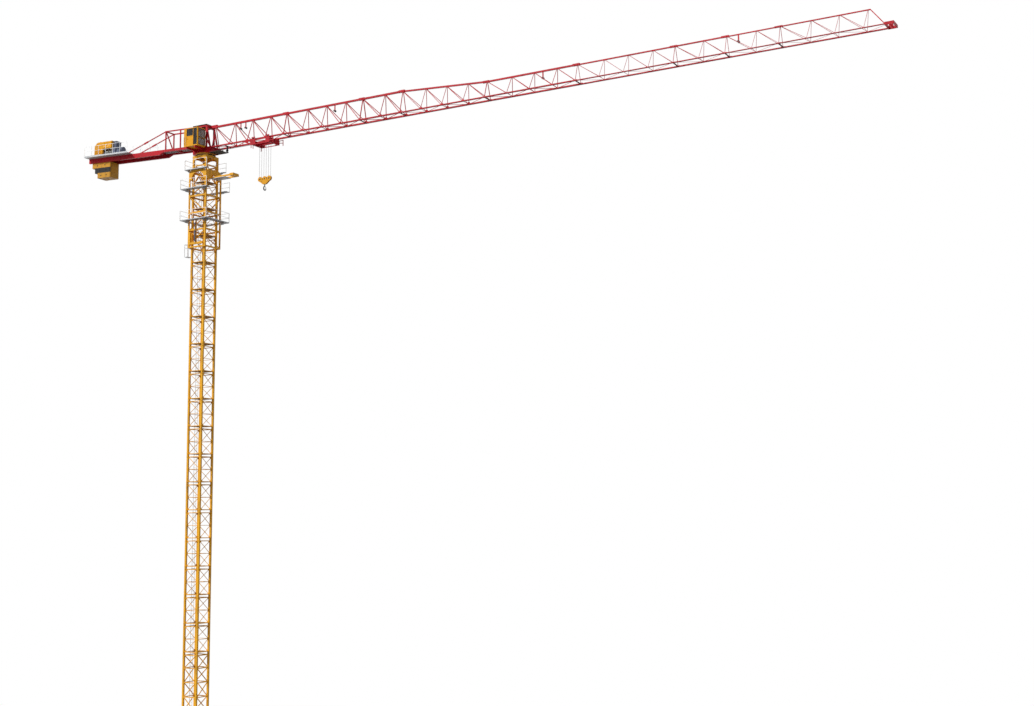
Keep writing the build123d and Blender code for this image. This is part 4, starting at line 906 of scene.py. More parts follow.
ring_low = FIRST_JOINT + RING_RISE
half_way = FIRST_JOINT + SECTION / 2
ring_high = FIRST_JOINT + SECTION - RING_RISE
section = joined([
    level_tube(ring_low, RING_TUBE),
    level_tube(ring_high, RING_TUBE),
    level_tube(half_way, MIDDLE_TUBE),
    tube((-BAY_HALF, ring_low), (BAY_HALF, half_way), DIAGONAL_TUBE),
    tube((BAY_HALF, half_way), (-BAY_HALF, ring_high), DIAGONAL_TUBE),
])
face = [row(section, SECTIONS, (0, 0, SECTION)), *[level_tube(level, HEAVY_TUBE) for level in HEAVY_LEVELS]]
start_side = BAY_HALF
for upper, lower in zip(HEAVY_LEVELS, HEAVY_LEVELS[1:]):
    face.append(tube((start_side, upper), (-start_side, lower), HEAVY_TUBE))
    start_side = -start_side
bracing = fitted(copies(joined(face), QUARTERS), "mast_tubes", "mast", "mast_paint")
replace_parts(bracing, "mast_bracing_right", "mast_bracing_front", "mast_bracing_left", "mast_bracing_rear")

# %% [markdown]
# ## Inside the mast
# A ladder goes up the inside of the mast, and every section has a rest platform beside it. From below,
# these are the bands that cross the mast at each joint. The ladder is a pair of stiles, one rung set out in
# a row, and a bracket at every joint.

# %% Ladder and rest platforms
JOINT_COUNT = 18
LADDER_X = -0.066
LADDER_HALF = 0.02
STILE = (-2, -1, 60, 2, 1, 5990)
BRACKET = (-23.5, -3, 13, 0, 1, 17)
RUNG = (0, -20, 80, 0, 20, 80, 1, 6)
RUNG_COUNT = 197
RUNG_STEP = 0.03
REST_BOARD = (-45, -88.5, 12.5, 88.5, 88.5, 16.5, 0.4)
REST_STRIP = (-88.5, 28, 12.5, -46, 88.5, 16.5, 0.4)
REST_RIM = 0.006
REST_SUNK = -0.0012

bracket = bars((LADDER_X, LADDER_HALF, FIRST_JOINT), BRACKET)
bracket = row(bracket, JOINT_COUNT - 1, (0, 0, SECTION))
stiles = mirrored(joined([bars((LADDER_X, LADDER_HALF, 0), STILE), bracket]))
rungs = row(rods((LADDER_X, 0, 0), RUNG), RUNG_COUNT, (0, 0, RUNG_STEP))
fitted(joined([stiles, rungs]), "mast_ladder", "mast", "grating")

rest = bars((0, 0, FIRST_JOINT), REST_BOARD)
pick(rest, lambda centre, normal: abs(normal.z) > FACING)
bpy.ops.mesh.inset(thickness=REST_RIM, depth=REST_SUNK, use_individual=True)
leave()
rest = joined([rest, mirrored(bars((0, 0, FIRST_JOINT), REST_STRIP))])
rest = row(rest, JOINT_COUNT, (0, 0, SECTION))
fitted(rest, "mast_rest_platforms", "mast", "mast_paint", "rest")

# %% [markdown]
# ## Joints of the mast
# The sections are pinned together through fishplates on the legs, and small gussets join the diagonals to
# the legs. One side is modelled, set out in a row, and turned round to the others. The climbing cage slides
# over the upper joints, so those have their pins inside and get no plates.

# %% Fishplates and gussets
PLATED_JOINTS = 14
LEG_CORNER = (0, -0.1, FIRST_JOINT)
FISHPLATE = (-98.5, -1.8, -21, -81.5, 0.5, 21)
PIN_HEADS = [(x, -1.6, z, x, -3.4, z, 2.1, 6) for x in (-93.8, -86.2) for z in (-13, 13)]
GUSSET_FACE = FACE_Y + 0.0008
GUSSET_THICK = (0, -0.0016, 0)
GUSSETS = (
    ((-81, 14), (-60, 14), (-58, 26), (-68, 34), (-81, 34)),
    ((81, 134), (70, 134), (60, 144), (60, 156), (70, 166), (81, 166)),
    ((-81, 286), (-60, 286), (-58, 274), (-68, 266), (-81, 266)),
)

fish = joined([bars(LEG_CORNER, FISHPLATE), rods(LEG_CORNER, *PIN_HEADS)])
fish = mirrored(row(fish, PLATED_JOINTS, (0, 0, SECTION)), across_x=True, across_y=False)
fitted(copies(fish, QUARTERS), "mast_fishplates", "mast", "mast_paint")

gussets = []
for corners in GUSSETS:
    points = [(x / 1000, GUSSET_FACE, FIRST_JOINT + z / 1000) for x, z in corners]
    gussets.append(plate(points, GUSSET_THICK))
gussets = copies(row(joined(gussets), JOINT_COUNT - 1, (0, 0, SECTION)), QUARTERS)
fitted(gussets, "mast_gussets", "mast", "mast_paint")

# %% [markdown]
# ## Holding-down bolts
# The cross at the foot of the mast is bolted to the ground. Each bolt shows a washer, a nut and the end of
# its thread: the washer is turned, and the other two are rods.

# %% Bolts at the feet
FOOT_TOP = 0.008
BOLT_SPREADS = ((0.19, 0.14), (0.14, 0.19))
BOLT_PLACES = [(far * x, near * y, FOOT_TOP) for far, near in BOLT_SPREADS for x in (-1, 1) for y in (-1, 1)]
WASHER = ((2.4, 0), (6, 0), (6, 1), (2.4, 1))
WASHER_STEPS = 16
NUT = (0, 0, 1, 0, 0, 5.2, 4.6, 6)
THREAD = (0, 0, 4, 0, 0, 12, 2.4, 10)

bolt = joined([turned(WASHER, "Z", WASHER_STEPS), rods(ORIGIN, NUT, THREAD)])
fitted(placed(bolt, BOLT_PLACES), "holding_down_bolts", "mast", "dark_steel")

# %% [markdown]
# ## Slewing ring
# The jib turns on a large ball bearing whose outer ring has teeth. A drum with many sides is the blank, and
# every other side face is pulled out into a tooth. Two upright motors drive it round.

# %% Toothed ring and slewing motors
TEETH = 90
TOOTH_PROUD = 0.0022
RING_RADIUS = 0.1085
RING_LOW = 6.3138
RING_HIGH = 6.3245
MOTOR_OUTLINE = (
    *((0.2, 0), (17, 0), (17, 5), (13, 7), (13, 26), (15, 28), (15, 33), (12, 35), (12, 66)),
    *((13, 67), (13, 78), (10, 82), (0.2, 82)),
)
MOTOR_STEPS = 24
MOTOR_PLACES = [(x, 0, 6.3522) for x in (-0.105, 0.1)]
MOTOR_FIN = (11.5, -0.5, 37, 14.2, 0.5, 64, 0.2)
MOTOR_FINS = 16


def is_tooth(centre, normal):
    return math.floor(math.atan2(centre.y, centre.x) / math.tau * 2 * TEETH) % 2 == 0


gear = begin(
    "cylinder",
    vertices=2 * TEETH,
    radius=RING_RADIUS,
    depth=RING_HIGH - RING_LOW,
    end_fill_type="NOTHING",
    location=(0, 0, (RING_LOW + RING_HIGH) / 2),
)
pick(gear, is_tooth)
bpy.ops.mesh.extrude_faces_move(TRANSFORM_OT_shrink_fatten={"value": TOOTH_PROUD})
leave()
fitted(capped(gear), "slewing_gear_ring", "mast", "dark_steel")

motor = joined([turned(MOTOR_OUTLINE, "Z", MOTOR_STEPS), ringed(bars(ORIGIN, MOTOR_FIN), MOTOR_FINS, "Z")])
fitted(placed(motor, MOTOR_PLACES), "slewing_motors", "upper_works", "machine_grey")

# %% [markdown]
# ## Wider arches
# The walls of the slewing seat and the top band of the cage are cut away in wide arches. The solid model
# has lower ones there. A copy of each piece is merged first, because its triangles are loose. A Boolean
# modifier then takes a cutter away: an arch drawn as an outline and pulled right through the crane.

# %% Arches of the seat and the cage
ARCH_STEPS = 24
CUTTER_REACH = 0.3
ARCH_SMOOTH = math.radians(16)
SEAT_ARCH = (0.0800, 6.2325, 6.2450, 6.2860)
CAGE_ARCH = (0.0800, 6.0360, 6.0660, 6.1240)
CAGE_TURNS = {"cage_side_right": QUARTERS[0], "cage_side_left": QUARTERS[0], "cage_side_rear": QUARTERS[1]}


def arch_cutter(half, low, spring, crown):
    """A prism along Y: straight sides up to the spring line, and half an ellipse over them."""
    turns = [math.pi * place / ARCH_STEPS for place in range(ARCH_STEPS + 1)]
    points = [(half * math.cos(turn), spring + (crown - spring) * math.sin(turn)) for turn in turns]
    points = [(half, low), *points, (-half, low)]
    return plate([(x, -CUTTER_REACH, z) for x, z in points], (0, 2 * CUTTER_REACH, 0))


def arched(node, sizes, turns):
    """A merged copy of a solid piece with an arch cut through it in each of these directions."""
    piece = bpy.data.objects.new(node + " arched", frame["nodes"][node].data.copy())
    bpy.context.scene.collection.objects.link(piece)
    merged(piece)
    for turn in turns:
        cutter = moved(arch_cutter(*sizes), turn)
        shaped(piece, "BOOLEAN", operation="DIFFERENCE", solver="EXACT", object=cutter)
        bpy.data.objects.remove(cutter)
    return piece


seat = fitted(arched("slewing_seat", SEAT_ARCH, QUARTERS[:2]), "arched_seat", "mast", "mast_paint")
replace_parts(seat, "slewing_seat")
bands = joined([arched(node, CAGE_ARCH, [turn]) for node, turn in CAGE_TURNS.items()])
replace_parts(fitted(bands, "arched_cage_sides", "climbing_cage", "mast_paint"), *CAGE_TURNS)
for piece in (seat, bands):
    choose(piece)
    bpy.ops.object.shade_smooth_by_angle(angle=ARCH_SMOOTH)

# %% [markdown]
# ## Platforms of the climbing cage
# Fitters walk on open gratings round the cage. Toe boards keep tools from being kicked off, and brackets
# carry the boards from the cage. A slat is set out along one side, and that side is turned round to the
# others. The two upper platforms leave the front open for new mast sections.

# %% Gratings, toe boards and brackets
BOARD_INNER = 0.125
SLAT_STEP = 0.008
SLAT_MARGIN = 0.006
BRACKET_X = 0.112
BRACKET_THICK = (0.003, 0, 0)
THREE_SIDES = [QUARTERS[0], QUARTERS[2], QUARTERS[3]]
PLATFORMS = ((5.58, 0.19, QUARTERS), (5.93, 0.19, THREE_SIDES), (6.15, 0.16, THREE_SIDES))


def platform_trim(top, half, sides):
    """Slats, a toe board and two brackets for each of these sides of a platform."""
    corner = (-half, -half, top)
    deep = 1000 * (half - BOARD_INNER)
    slat = bars(corner, (2, 1.8, -0.2, 3.4, deep, 1.6, 0.2))
    slats = row(slat, int((2 * half - SLAT_MARGIN) / SLAT_STEP) + 1, (SLAT_STEP, 0, 0))
    toe = bars(corner, (0, 0, -1, 2000 * half, 1.6, 6))
    outline = ((deep, -4), (4, -4), (4, -9), (deep, -30))
    bracket = plate([(BRACKET_X, y / 1000 - half, top + z / 1000) for y, z in outline], BRACKET_THICK)
    return copies(joined([slats, toe, mirrored(bracket, across_x=True, across_y=False)]), sides)


trims = [platform_trim(*sizes) for sizes in PLATFORMS]
fitted(joined(trims), "platform_gratings", "climbing_cage", "grating")

# %% [markdown]
# ## Climbing jack
# A hydraulic jack between the yoke and the cage lifts the top of the crane by one section. Cylinder, gland
# ring and polished rod are turned in one, and an ear holds them at each end.

# %% Hydraulic jack
JACK_OUTLINE = (
    *((0.2, 0), (5, 0), (6, 3), (6, 12), (8.2, 14), (8.2, 96), (9.2, 97), (9.2, 106), (4.2, 108), (4.2, 176)),
    *((6, 178), (6, 188), (0.2, 190)),
)
JACK_STEPS = 20
JACK_Y = -0.151
JACK_RISE = Vector((0, 0, 0.04))
EAR_LEVELS = (30, 224)

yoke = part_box("climbing_yoke")
jack_foot = Vector((0, JACK_Y, yoke[0][2]))
ear_reach = 1000 * (yoke[0][1] - JACK_Y) + 4
jack = moved(turned(JACK_OUTLINE, "Z", JACK_STEPS), Matrix.Translation(jack_foot + JACK_RISE))
ears = bars(jack_foot, *[(-9, -7, z, 9, ear_reach, z + 12) for z in EAR_LEVELS])
fitted(joined([jack, ears]), "climbing_jack", "climbing_cage", "machine_grey")

# %% [markdown]
# ## Cab
# Rubber gaskets hold the panes. A gasket is a plane the size of the opening: an inset leaves a frame, the
# pane in its middle is deleted, the frame is pulled out, and a matrix stands it against its wall.

# %% Window gaskets
CAB_REAR, CAB_FRONT = -0.128, 0.076
CAB_OUTER, CAB_INNER = -0.220, -0.090
PANE_LOW, PANE_TOP = 6.4073, 6.5863
TRANSOM_LOW, TRANSOM_TOP = 6.4813, 6.4913
SILL = 6.5123
PANE_ACROSS = (-0.206, -0.104)
SIDE_PANE = (0.016, 0.062)
SIDE_WINDOW = (-0.080, 0.004)
GASKET_LAP = 0.004
GASKET_WIDE = 0.0045
GASKET_PROUD = 0.0012
SUNK = 0.0002
FLANKS = ((CAB_OUTER + SUNK, 0), (CAB_INNER - SUNK, 180))
WINDOWS = [
    (PANE_ACROSS, (PANE_LOW, TRANSOM_LOW), CAB_FRONT - SUNK, 90),
    (PANE_ACROSS, (TRANSOM_TOP, PANE_TOP), CAB_FRONT - SUNK, 90),
    (PANE_ACROSS, (SILL, PANE_TOP), CAB_REAR + SUNK, -90),
    *[(SIDE_PANE, (PANE_LOW, PANE_TOP), *flank) for flank in FLANKS],
    *[(SIDE_WINDOW, (SILL, PANE_TOP), *flank) for flank in FLANKS],
]


def gasket(across, levels, wall, turn):
    """A gasket round a window of a wall; walls turned by a right angle face along X, the others along Y."""
    wide, high = across[1] - across[0] + GASKET_LAP, levels[1] - levels[0] + GASKET_LAP
    middle, level = sum(across) / 2, sum(levels) / 2
    place = (wall, middle, level) if turn % 180 else (middle, wall, level)
    piece = begin("plane", size=1)
    pick_all(piece)
    bpy.ops.transform.resize(value=(wide, high, 1), center_override=ORIGIN)
    bpy.ops.mesh.inset(thickness=GASKET_WIDE)
    bpy.ops.mesh.delete(type="FACE")
    bpy.ops.mesh.select_all(action="SELECT")
    bpy.ops.mesh.extrude_region_move(TRANSFORM_OT_translate={"value": (0, 0, GASKET_PROUD)})
    leave(outward=True)
    upright = Matrix.Rotation(math.radians(turn), 4, "Z") @ Matrix.Rotation(math.radians(90), 4, "X")
    return moved(piece, Matrix.Translation(place) @ upright)


gaskets = [gasket(*window) for window in WINDOWS]
fitted(joined(gaskets), "cab_gaskets", "upper_works", "black_paint", "rubber")

# %% [markdown]
# ## Inside the cab
# Behind the glass sits a moulded seat between two consoles, each with a lever. Only their shapes show
# through the tint, so bars with well rounded edges will do.

# %% Seat and consoles
SEAT_Y = -0.155
CAB_FLOOR = 6.3973
CONSOLE_YS = (SEAT_Y - 0.034, SEAT_Y + 0.034)
SEAT_POST = (-34, 0, 0, -34, 0, 42, 8, 12)
SEAT_CUSHIONS = (
    (-58, -24, 40, -10, 24, 49, 3),
    (-66, -23, 46, -58, 23, 110, 3),
    (-67, -12, 112, -60, 12, 128, 2),
)
CONSOLE = (-52, -8, 0, 4, 8, 56, 2)
LEVER = ((-4, 0, 56, 0, 0, 74, 1.2), (0, 0, 73, 1, 0, 80, 2.8, 10))

seat_foot = (0, SEAT_Y, CAB_FLOOR)
inside = [rods(seat_foot, SEAT_POST), bars(seat_foot, *SEAT_CUSHIONS)]
for y in CONSOLE_YS:
    inside.append(bars((0, y, CAB_FLOOR), CONSOLE))
    inside.append(rods((0, y, CAB_FLOOR), *LEVER))
fitted(joined(inside), "cab_seat_and_consoles", "upper_works", "black_paint", "rubber")

# %% [markdown]
# ## Outside of the cab
# A wiper sweeps the front pane, grab rails stand beside the door, and a gutter runs round the roof. The
# door itself is only a seam round its edges and a handle, a little proud of the wall.

# %% Wiper, grab rails, gutter and door
WIPER_PIVOT = (CAB_FRONT, -0.155, 6.4865)
WIPER = (
    (1.2, 0, 2, 2.4, -23, 55.5, 0.8, 6),
    (1.0, -13, 28.5, 1.0, -33, 82.5, 0.9, 6),
    (-1.0, 0, 0, 3.0, 0, 0, 2.6, 10),
)
RAIL_FEET = [(x, CAB_OUTER, 6.415) for x in (-0.117, -0.094)]
GRAB_RAIL = ((0, -7, 0, 0, -7, 85, 1.3), (0, -7, 5, 0, 1, 5, 1.1), (0, -7, 80, 0, 1, 80, 1.1))
GUTTER_CORNER = (CAB_REAR, CAB_OUTER, 6.5905)
GUTTER = (
    (6, -2, 0, 198, 1, 2.5),
    (6, 129, 0, 198, 132, 2.5),
    (-2, 6, 0, 1, 124, 2.5),
    (203, 6, 0, 206, 124, 2.5),
)
DOOR_SEAMS = (
    (41.2, -1, -192, 42.8, 1, -2.5),
    (137.2, -1, -192, 138.8, 1, -2.5),
    (42, -1, -92, 138, 1, -90.5),
)
DOOR_HANDLE = (51, -5.2, -114, 66, -3, -111)
DOOR_PIVOT = (52, 1, -112.5, 52, -4, -112.5, 2.2, 10)

fitted(rods(WIPER_PIVOT, *WIPER), "cab_wiper", "upper_works", "black_paint", "rubber")
rails = joined([rods(foot, *GRAB_RAIL) for foot in RAIL_FEET])
fitted(rails, "cab_grab_rails", "upper_works", "grating")
trim = joined([bars(GUTTER_CORNER, *GUTTER, *DOOR_SEAMS, DOOR_HANDLE), rods(GUTTER_CORNER, DOOR_PIVOT)])
fitted(trim, "cab_gutter_and_door", "upper_works", "cab_paint")

# %% [markdown]
# ## Hoist winch
# The winch stands on the counter-jib, which rises a little towards its tail. So its details are modelled
# level, at the origin, and one matrix tilts them and sets them on the girders. The rope on the drum is a
# small ring swept in a helix by the Screw modifier, two layers deep.

# %% Rope on the drum
TILT = math.radians(2.4)
GIRDER_ROOT_X = -0.130
GIRDER_ROOT_TOP = 6.4403
DRUM_LEVEL = 0.072
DRUM_ENDS = (-0.146, -0.032)
ROPE_PITCH = 0.0032
ROPE_LAYERS = (0.0332, 0.0355)
WINDING_STEPS = 24


def on_girders(x):
    """Place on the girder tops at this distance along the crane, tilted as they are."""
    top = GIRDER_ROOT_TOP + (GIRDER_ROOT_X - x) * math.tan(TILT)
    return Matrix.Translation((x, 0, top)) @ Matrix.Rotation(TILT, 4, "Y")


def winding(radius, turns):
    """Rope wound round the X axis, from the origin on."""
    points = [Vector((math.cos(turn), 0, math.sin(turn))) * ROPE_RADIUS for turn in ROPE_TURNS]
    piece = outlined([point + Vector((0, 0, radius)) for point in points], "NOTHING")
    sweep = {"steps": WINDING_STEPS, "render_steps": WINDING_STEPS, "iterations": turns}
    return capped(shaped(piece, "SCREW", axis="X", screw_offset=ROPE_PITCH, **sweep))


ON_WINCH = on_girders(-1.364)
turns = int((DRUM_ENDS[1] - DRUM_ENDS[0]) / ROPE_PITCH) - 2
first_layer = winding(ROPE_LAYERS[0], turns)
second_layer = moved(winding(ROPE_LAYERS[1], turns // 2), Matrix.Translation((ROPE_PITCH / 2, 0, 0)))
on_drum = Matrix.Translation((DRUM_ENDS[0] + ROPE_PITCH, 0, DRUM_LEVEL))
wound = moved(joined([first_layer, second_layer]), ON_WINCH @ on_drum)
fitted(wound, "drum_rope", "upper_works", "rope")

# %% [markdown]
# ## Motor, gearbox and resistors
# The motor has cooling fins and a fan cowl, the gearbox is bolted through its flanges, and the box above
# holds the resistors that slow the hoist, with louvres to let their heat out. One fin or louvre is modelled
# and repeated.

# %% Fins, bolts and louvres
MOTOR_LEVEL = (0, 0, 0.088)
WINCH_FIN = (32, -0.7, 34.5, 88, 0.7, 40.5, 0.3)
WINCH_FINS = 26
COWL = ((30, 90), (38.5, 90), (37.5, 104), (32, 108), (30, 106))
COWL_STEPS = 28
GRILLE = [(104.8, -30.6, z, 105.8, 30.6, z + 1, 0.2) for z in (-16, -8, 0, 8, 16)]
GEARBOX_BOLT = (47.5, 50.5, 2.8)
GEARBOX_PLACES = [(x, 0, z) for x in (-0.016, 0.016) for z in (0.034, 0.058, 0.082, 0.105)]
LOUVRES = 8
LOUVRE_STEP = (0, 0, 0.0088)
SIDE_LOUVRE = (-18, -40, 121, 18, -37.6, 124.5)
FRONT_LOUVRE = (21.6, -33, 121, 24, 33, 124.5)
RESISTOR_LID = (-23.5, -39.5, 190.5, 23.5, 39.5, 194.5)

fins = ringed(bars(ORIGIN, WINCH_FIN), WINCH_FINS, "X")
winch_motor = joined([fins, turned(COWL, "X", COWL_STEPS), bars(ORIGIN, *GRILLE)])
winch_motor = moved(winch_motor, Matrix.Translation(MOTOR_LEVEL))
gearbox_bolts = mirrored(placed(stud(*GEARBOX_BOLT), GEARBOX_PLACES))
gearbox = moved(joined([winch_motor, gearbox_bolts]), ON_WINCH)
fitted(gearbox, "winch_fins_and_bolts", "upper_works", "machine_grey")

side_louvres = mirrored(row(bars(ORIGIN, SIDE_LOUVRE), LOUVRES, LOUVRE_STEP))
front_louvres = row(bars(ORIGIN, FRONT_LOUVRE), LOUVRES, LOUVRE_STEP)
louvres = moved(joined([side_louvres, front_louvres, bars(ORIGIN, RESISTOR_LID)]), ON_WINCH)
fitted(louvres, "resistor_louvres", "upper_works", "machine_grey")

# %% [markdown]
# ## Machine cover
# The cover over the winch is sheet steel: pressed panels, louvres at the back, hinges, a handle on each
# door, and four lifting eyes. Each panel is a thin bar with a smaller face inset into it.

# %% Panels, louvres and lifting eyes
COVER_WALL = (0, -0.065, 0)
COVER_TOP = (0, 0, 0.196)
COVER_PANELS = ((-160, -100, 124, 188), (-95, -35, 124, 188), (-290, -176, 124, 152))
PANEL_RIM = 0.005
PANEL_STEP = {"thickness": 0.0015, "depth": -0.001}
REAR_LOUVRE = (-284, -2.8, 60, -184, 0.4, 63.2)
REAR_LOUVRES = 6
REAR_LOUVRE_STEP = (0, 0, 0.0095)
HINGES = [(x - 5, -1, 190.5, x + 5, -1, 190.5, 1.8) for x in (-150, -110, -85, -45)]
HANDLES = [(x - 6, -4.2, 130, x + 6, 0, 132.5) for x in (-130, -65)]
ROOF_SHEET = (-246, -57.8, -0.5, -26, 57.8, 1.6)
EYE_RING = [(7.2 + 1.6 * math.cos(turn), 1.6 * math.sin(turn)) for turn in ROPE_TURNS]
EYE_STEPS = 12
EYE_PLACES = [(x, y, 0.2) for x in (-0.235, -0.05) for y in (-0.04, 0.04)]


def panel(x_low, x_high, z_low, z_high):
    piece = bars(COVER_WALL, (x_low, -1.6, z_low, x_high, 0.4, z_high))
    pick(piece, lambda centre, normal: normal.y < -FACING)
    bpy.ops.mesh.inset(thickness=PANEL_RIM, depth=0.0)
    bpy.ops.mesh.inset(**PANEL_STEP)
    leave()
    return piece


cover_side = [panel(*sizes) for sizes in COVER_PANELS]
cover_side.append(row(bars(COVER_WALL, REAR_LOUVRE), REAR_LOUVRES, REAR_LOUVRE_STEP))
cover_side.append(rods(COVER_WALL, *HINGES))
cover_side.append(bars(COVER_WALL, *HANDLES))
eyes = placed(turned(EYE_RING, "Y", EYE_STEPS), EYE_PLACES)
cover = joined([mirrored(joined(cover_side)), eyes, bars(COVER_TOP, ROOF_SHEET)])
fitted(moved(cover, ON_WINCH), "cover_panels", "upper_works", "cab_paint")

# %% [markdown]
# ## Decks of the counter-jib
# The machine deck is grating as well, and a narrow walkway leads to it between the girders, with short
# posts and wires beside it. Slats are set out level in a row, and the girders' matrix tilts the whole row.

# %% Deck slats, posts and wires
ON_DECK = on_girders(-1.38)
ON_WALKWAY = on_girders(-0.14)
DECK_SLAT = (-336, -158, 5.8, -334.4, 158, 7.6, 0.2)
DECK_SLATS = 68
DECK_STEP = (0.01, 0, 0)
WALK_SLAT = (-1.6, -52, -4.2, 0, 52, -2, 0.2)
WALK_SLATS = 88
WALK_STEP = (-0.0102, 0, 0)
BEARER = (-900, -65.5, -10, 0, -50, -4)
POST_XS = (-0.66, -0.785, -0.912, -1.036)
POST_FOOT = Vector((0, -0.0745, 0))
POST = (0, 0, -2, 0, 0, 92, 1.6)
POST_PLATE = (-6, -4, -0.5, 6, 4, 2.5)
WIRES = [(0, 0, rise) for rise in (0.048, 0.090)]
WIRE_RADIUS = 0.0006

slats = moved(row(bars(ORIGIN, DECK_SLAT), DECK_SLATS, DECK_STEP), ON_DECK)
walk = row(bars(ORIGIN, WALK_SLAT), WALK_SLATS, WALK_STEP)
walk = moved(joined([walk, mirrored(bars(ORIGIN, BEARER))]), ON_WALKWAY)
fitted(joined([slats, walk]), "counter_jib_gratings", "upper_works", "grating")

post = joined([rods(POST_FOOT, POST), bars(POST_FOOT, POST_PLATE)])
posts = copies(post, [on_girders(x) for x in POST_XS])
feet = [on_girders(x) @ POST_FOOT for x in (POST_XS[0], POST_XS[-1])]
wires = [rod(*[foot + Vector(rise) for foot in feet], WIRE_RADIUS, 6) for rise in WIRES]
fitted(mirrored(joined([posts, *wires])), "walkway_posts", "upper_works", "grating", "rail")

# %% [markdown]
# ## Counterweight fittings
# The slabs of the counterweight hang from the girders, with two lugs on either side of each: a round boss
# and a bolt. Their places are shares of each slab's own box, so they follow the slabs.

# %% Lugs on the slabs
LUG = ((0, 1, 0, 0, -4.5, 0, 5.2, 12), (0, -4, 0, 0, -7.5, 0, 2.8, 6))
LUG_SHARES = (0.3, 0.7)

lugs = []
for name in ("ballast_lower", "ballast_middle", "ballast_upper"):
    low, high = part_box(name)
    for share in LUG_SHARES:
        x = low[0] + (high[0] - low[0]) * share
        lugs.append(rods((x, low[1], (low[2] + high[2]) / 2), *LUG))
fitted(mirrored(joined(lugs)), "ballast_lugs", "upper_works", "dark_steel")

# %% [markdown]
# ## Truss of the jib
# A jib gets lighter towards its tip. The solid model has one size of flat bar throughout, so the truss is
# laid again over its lines with round tubes and square chords. A small table gives the sizes up to each
# panel point, and rods and beams run between the same points.

# %% Chords and tubes of the jib
JIB_ROOT = 0.142
PANEL = 0.25
PANELS = 29
DEEP_PANELS = 10
TAPER_END = 14
JOINTS = (4, 8, 10, 14, 18, 22, 24, 26)
CHORD_LEVEL = 6.3943
CHORD_BOTTOM = 6.3873
CHORD_Y = 0.060
TOP_DEEP, TOP_SHALLOW = 6.6323, 6.5663
TOP_UNDERSIDE = 0.008
TOP_NODE_SHIFT = 0.030
TOP_NODE_Y = 0.005
JIB_ENDS = (0.130, 7.570)
TOP_ENDS = (0.070, 7.438)
RUNWAY_OUTER, RUNWAY_THICK = 0.075, 0.003
JOINT_STOUTER = 1.3
JIB_SIZES = (
    (4, 0.021, 0.015, 0.0046),
    (10, 0.019, 0.015, 0.0042),
    (18, 0.016, 0.013, 0.0032),
    (24, 0.012, 0.010, 0.0021),
    (PANELS, 0.010, 0.009, 0.0019),
)


def beam(start, end, side):
    """A square bar between two points, upright."""
    start, end = Vector(start), Vector(end)
    run = end - start
    piece = bar((0, -side / 2, -side / 2), (run.length, side / 2, side / 2))
    return moved(piece, Matrix.Translation(start) @ run.to_track_quat("X", "Z").to_matrix().to_4x4())


def foot_x(count):
    return JIB_ROOT + PANEL * count


def head_x(count):
    return foot_x(count) + (0 if count == 0 or count in JOINTS else TOP_NODE_SHIFT)


def top_level(x):
    share = (x - foot_x(DEEP_PANELS)) / (foot_x(TAPER_END) - foot_x(DEEP_PANELS))
    return TOP_DEEP + (TOP_SHALLOW - TOP_DEEP) * min(max(share, 0), 1)


def sizes_at(count):
    """Sides of the top and bottom chords and radius of the tubes, from this panel point on."""
    return next(sizes[1:] for sizes in JIB_SIZES if count < sizes[0] or sizes[0] == PANELS)


def span(first, last, ends):
    """A chord between two panel points; the first and the last run on to the chord's ends."""
    return (ends[0] if first == 0 else foot_x(first), ends[1] if last == PANELS else foot_x(last))


lengths = [0, *[sizes[0] for sizes in JIB_SIZES]]
chords = []
flank = []
for first, last in zip(lengths, lengths[1:]):
    top, bottom, _ = sizes_at(first)
    kinks = sorted({first, last} | {count for count in (DEEP_PANELS, TAPER_END) if first < count < last})
    for near, far in zip(kinks, kinks[1:]):
        ends = [(x, 0, top_level(x) - TOP_UNDERSIDE + top / 2) for x in span(near, far, TOP_ENDS)]
        chords.append(beam(*ends, top))
    start, end = span(first, last, JIB_ENDS)
    half = bottom / 2
    flank.append(bar((start, -CHORD_Y - half, CHORD_BOTTOM), (end, -CHORD_Y + half, CHORD_BOTTOM + bottom)))
    flank.append(bar((start, -RUNWAY_OUTER, CHORD_BOTTOM), (end, -CHORD_Y, CHORD_BOTTOM + RUNWAY_THICK)))
for count in range(PANELS + 1):
    radius = sizes_at(count)[2]
    head = (head_x(count), -TOP_NODE_Y, top_level(head_x(count)))
    stouter = JOINT_STOUTER if count in JOINTS else 1
    flank.append(rod((foot_x(count), -CHORD_Y, CHORD_LEVEL), head, radius * stouter))
    if count < PANELS:
        flank.append(rod(head, (foot_x(count + 1), -CHORD_Y, CHORD_LEVEL), radius))
truss = joined([mirrored(joined(flank)), *chords])
fitted(truss, "jib_truss", "upper_works", "jib_paint")
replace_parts(truss, "jib_top_chord", "jib_bottom_chords", "jib_side_left", "jib_side_right")

# %% [markdown]
# ## Floor of the jib
# Between the lower chords a zigzag of thin tubes keeps the truss square. A loop lays a cross tube and a
# diagonal at each panel point, and the diagonal changes sides every time.

# %% Lower lacing
LACING_SHARE = 0.75

lacing = []
side = CHORD_Y
for count in range(PANELS + 1):
    x = foot_x(count)
    radius = LACING_SHARE * sizes_at(count)[2]
    reach = min(foot_x(count + 1), JIB_ENDS[1])
    far_y = -side + 2 * side * (reach - x) / PANEL
    lacing.append(rod((x, -CHORD_Y, CHORD_LEVEL), (x, CHORD_Y, CHORD_LEVEL), radius))
    lacing.append(rod((x, -side, CHORD_LEVEL), (reach, far_y, CHORD_LEVEL), radius))
    side = -side
lacing = fitted(joined(lacing), "jib_floor_tubes", "upper_works", "jib_paint")
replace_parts(lacing, "jib_bottom_lacing")

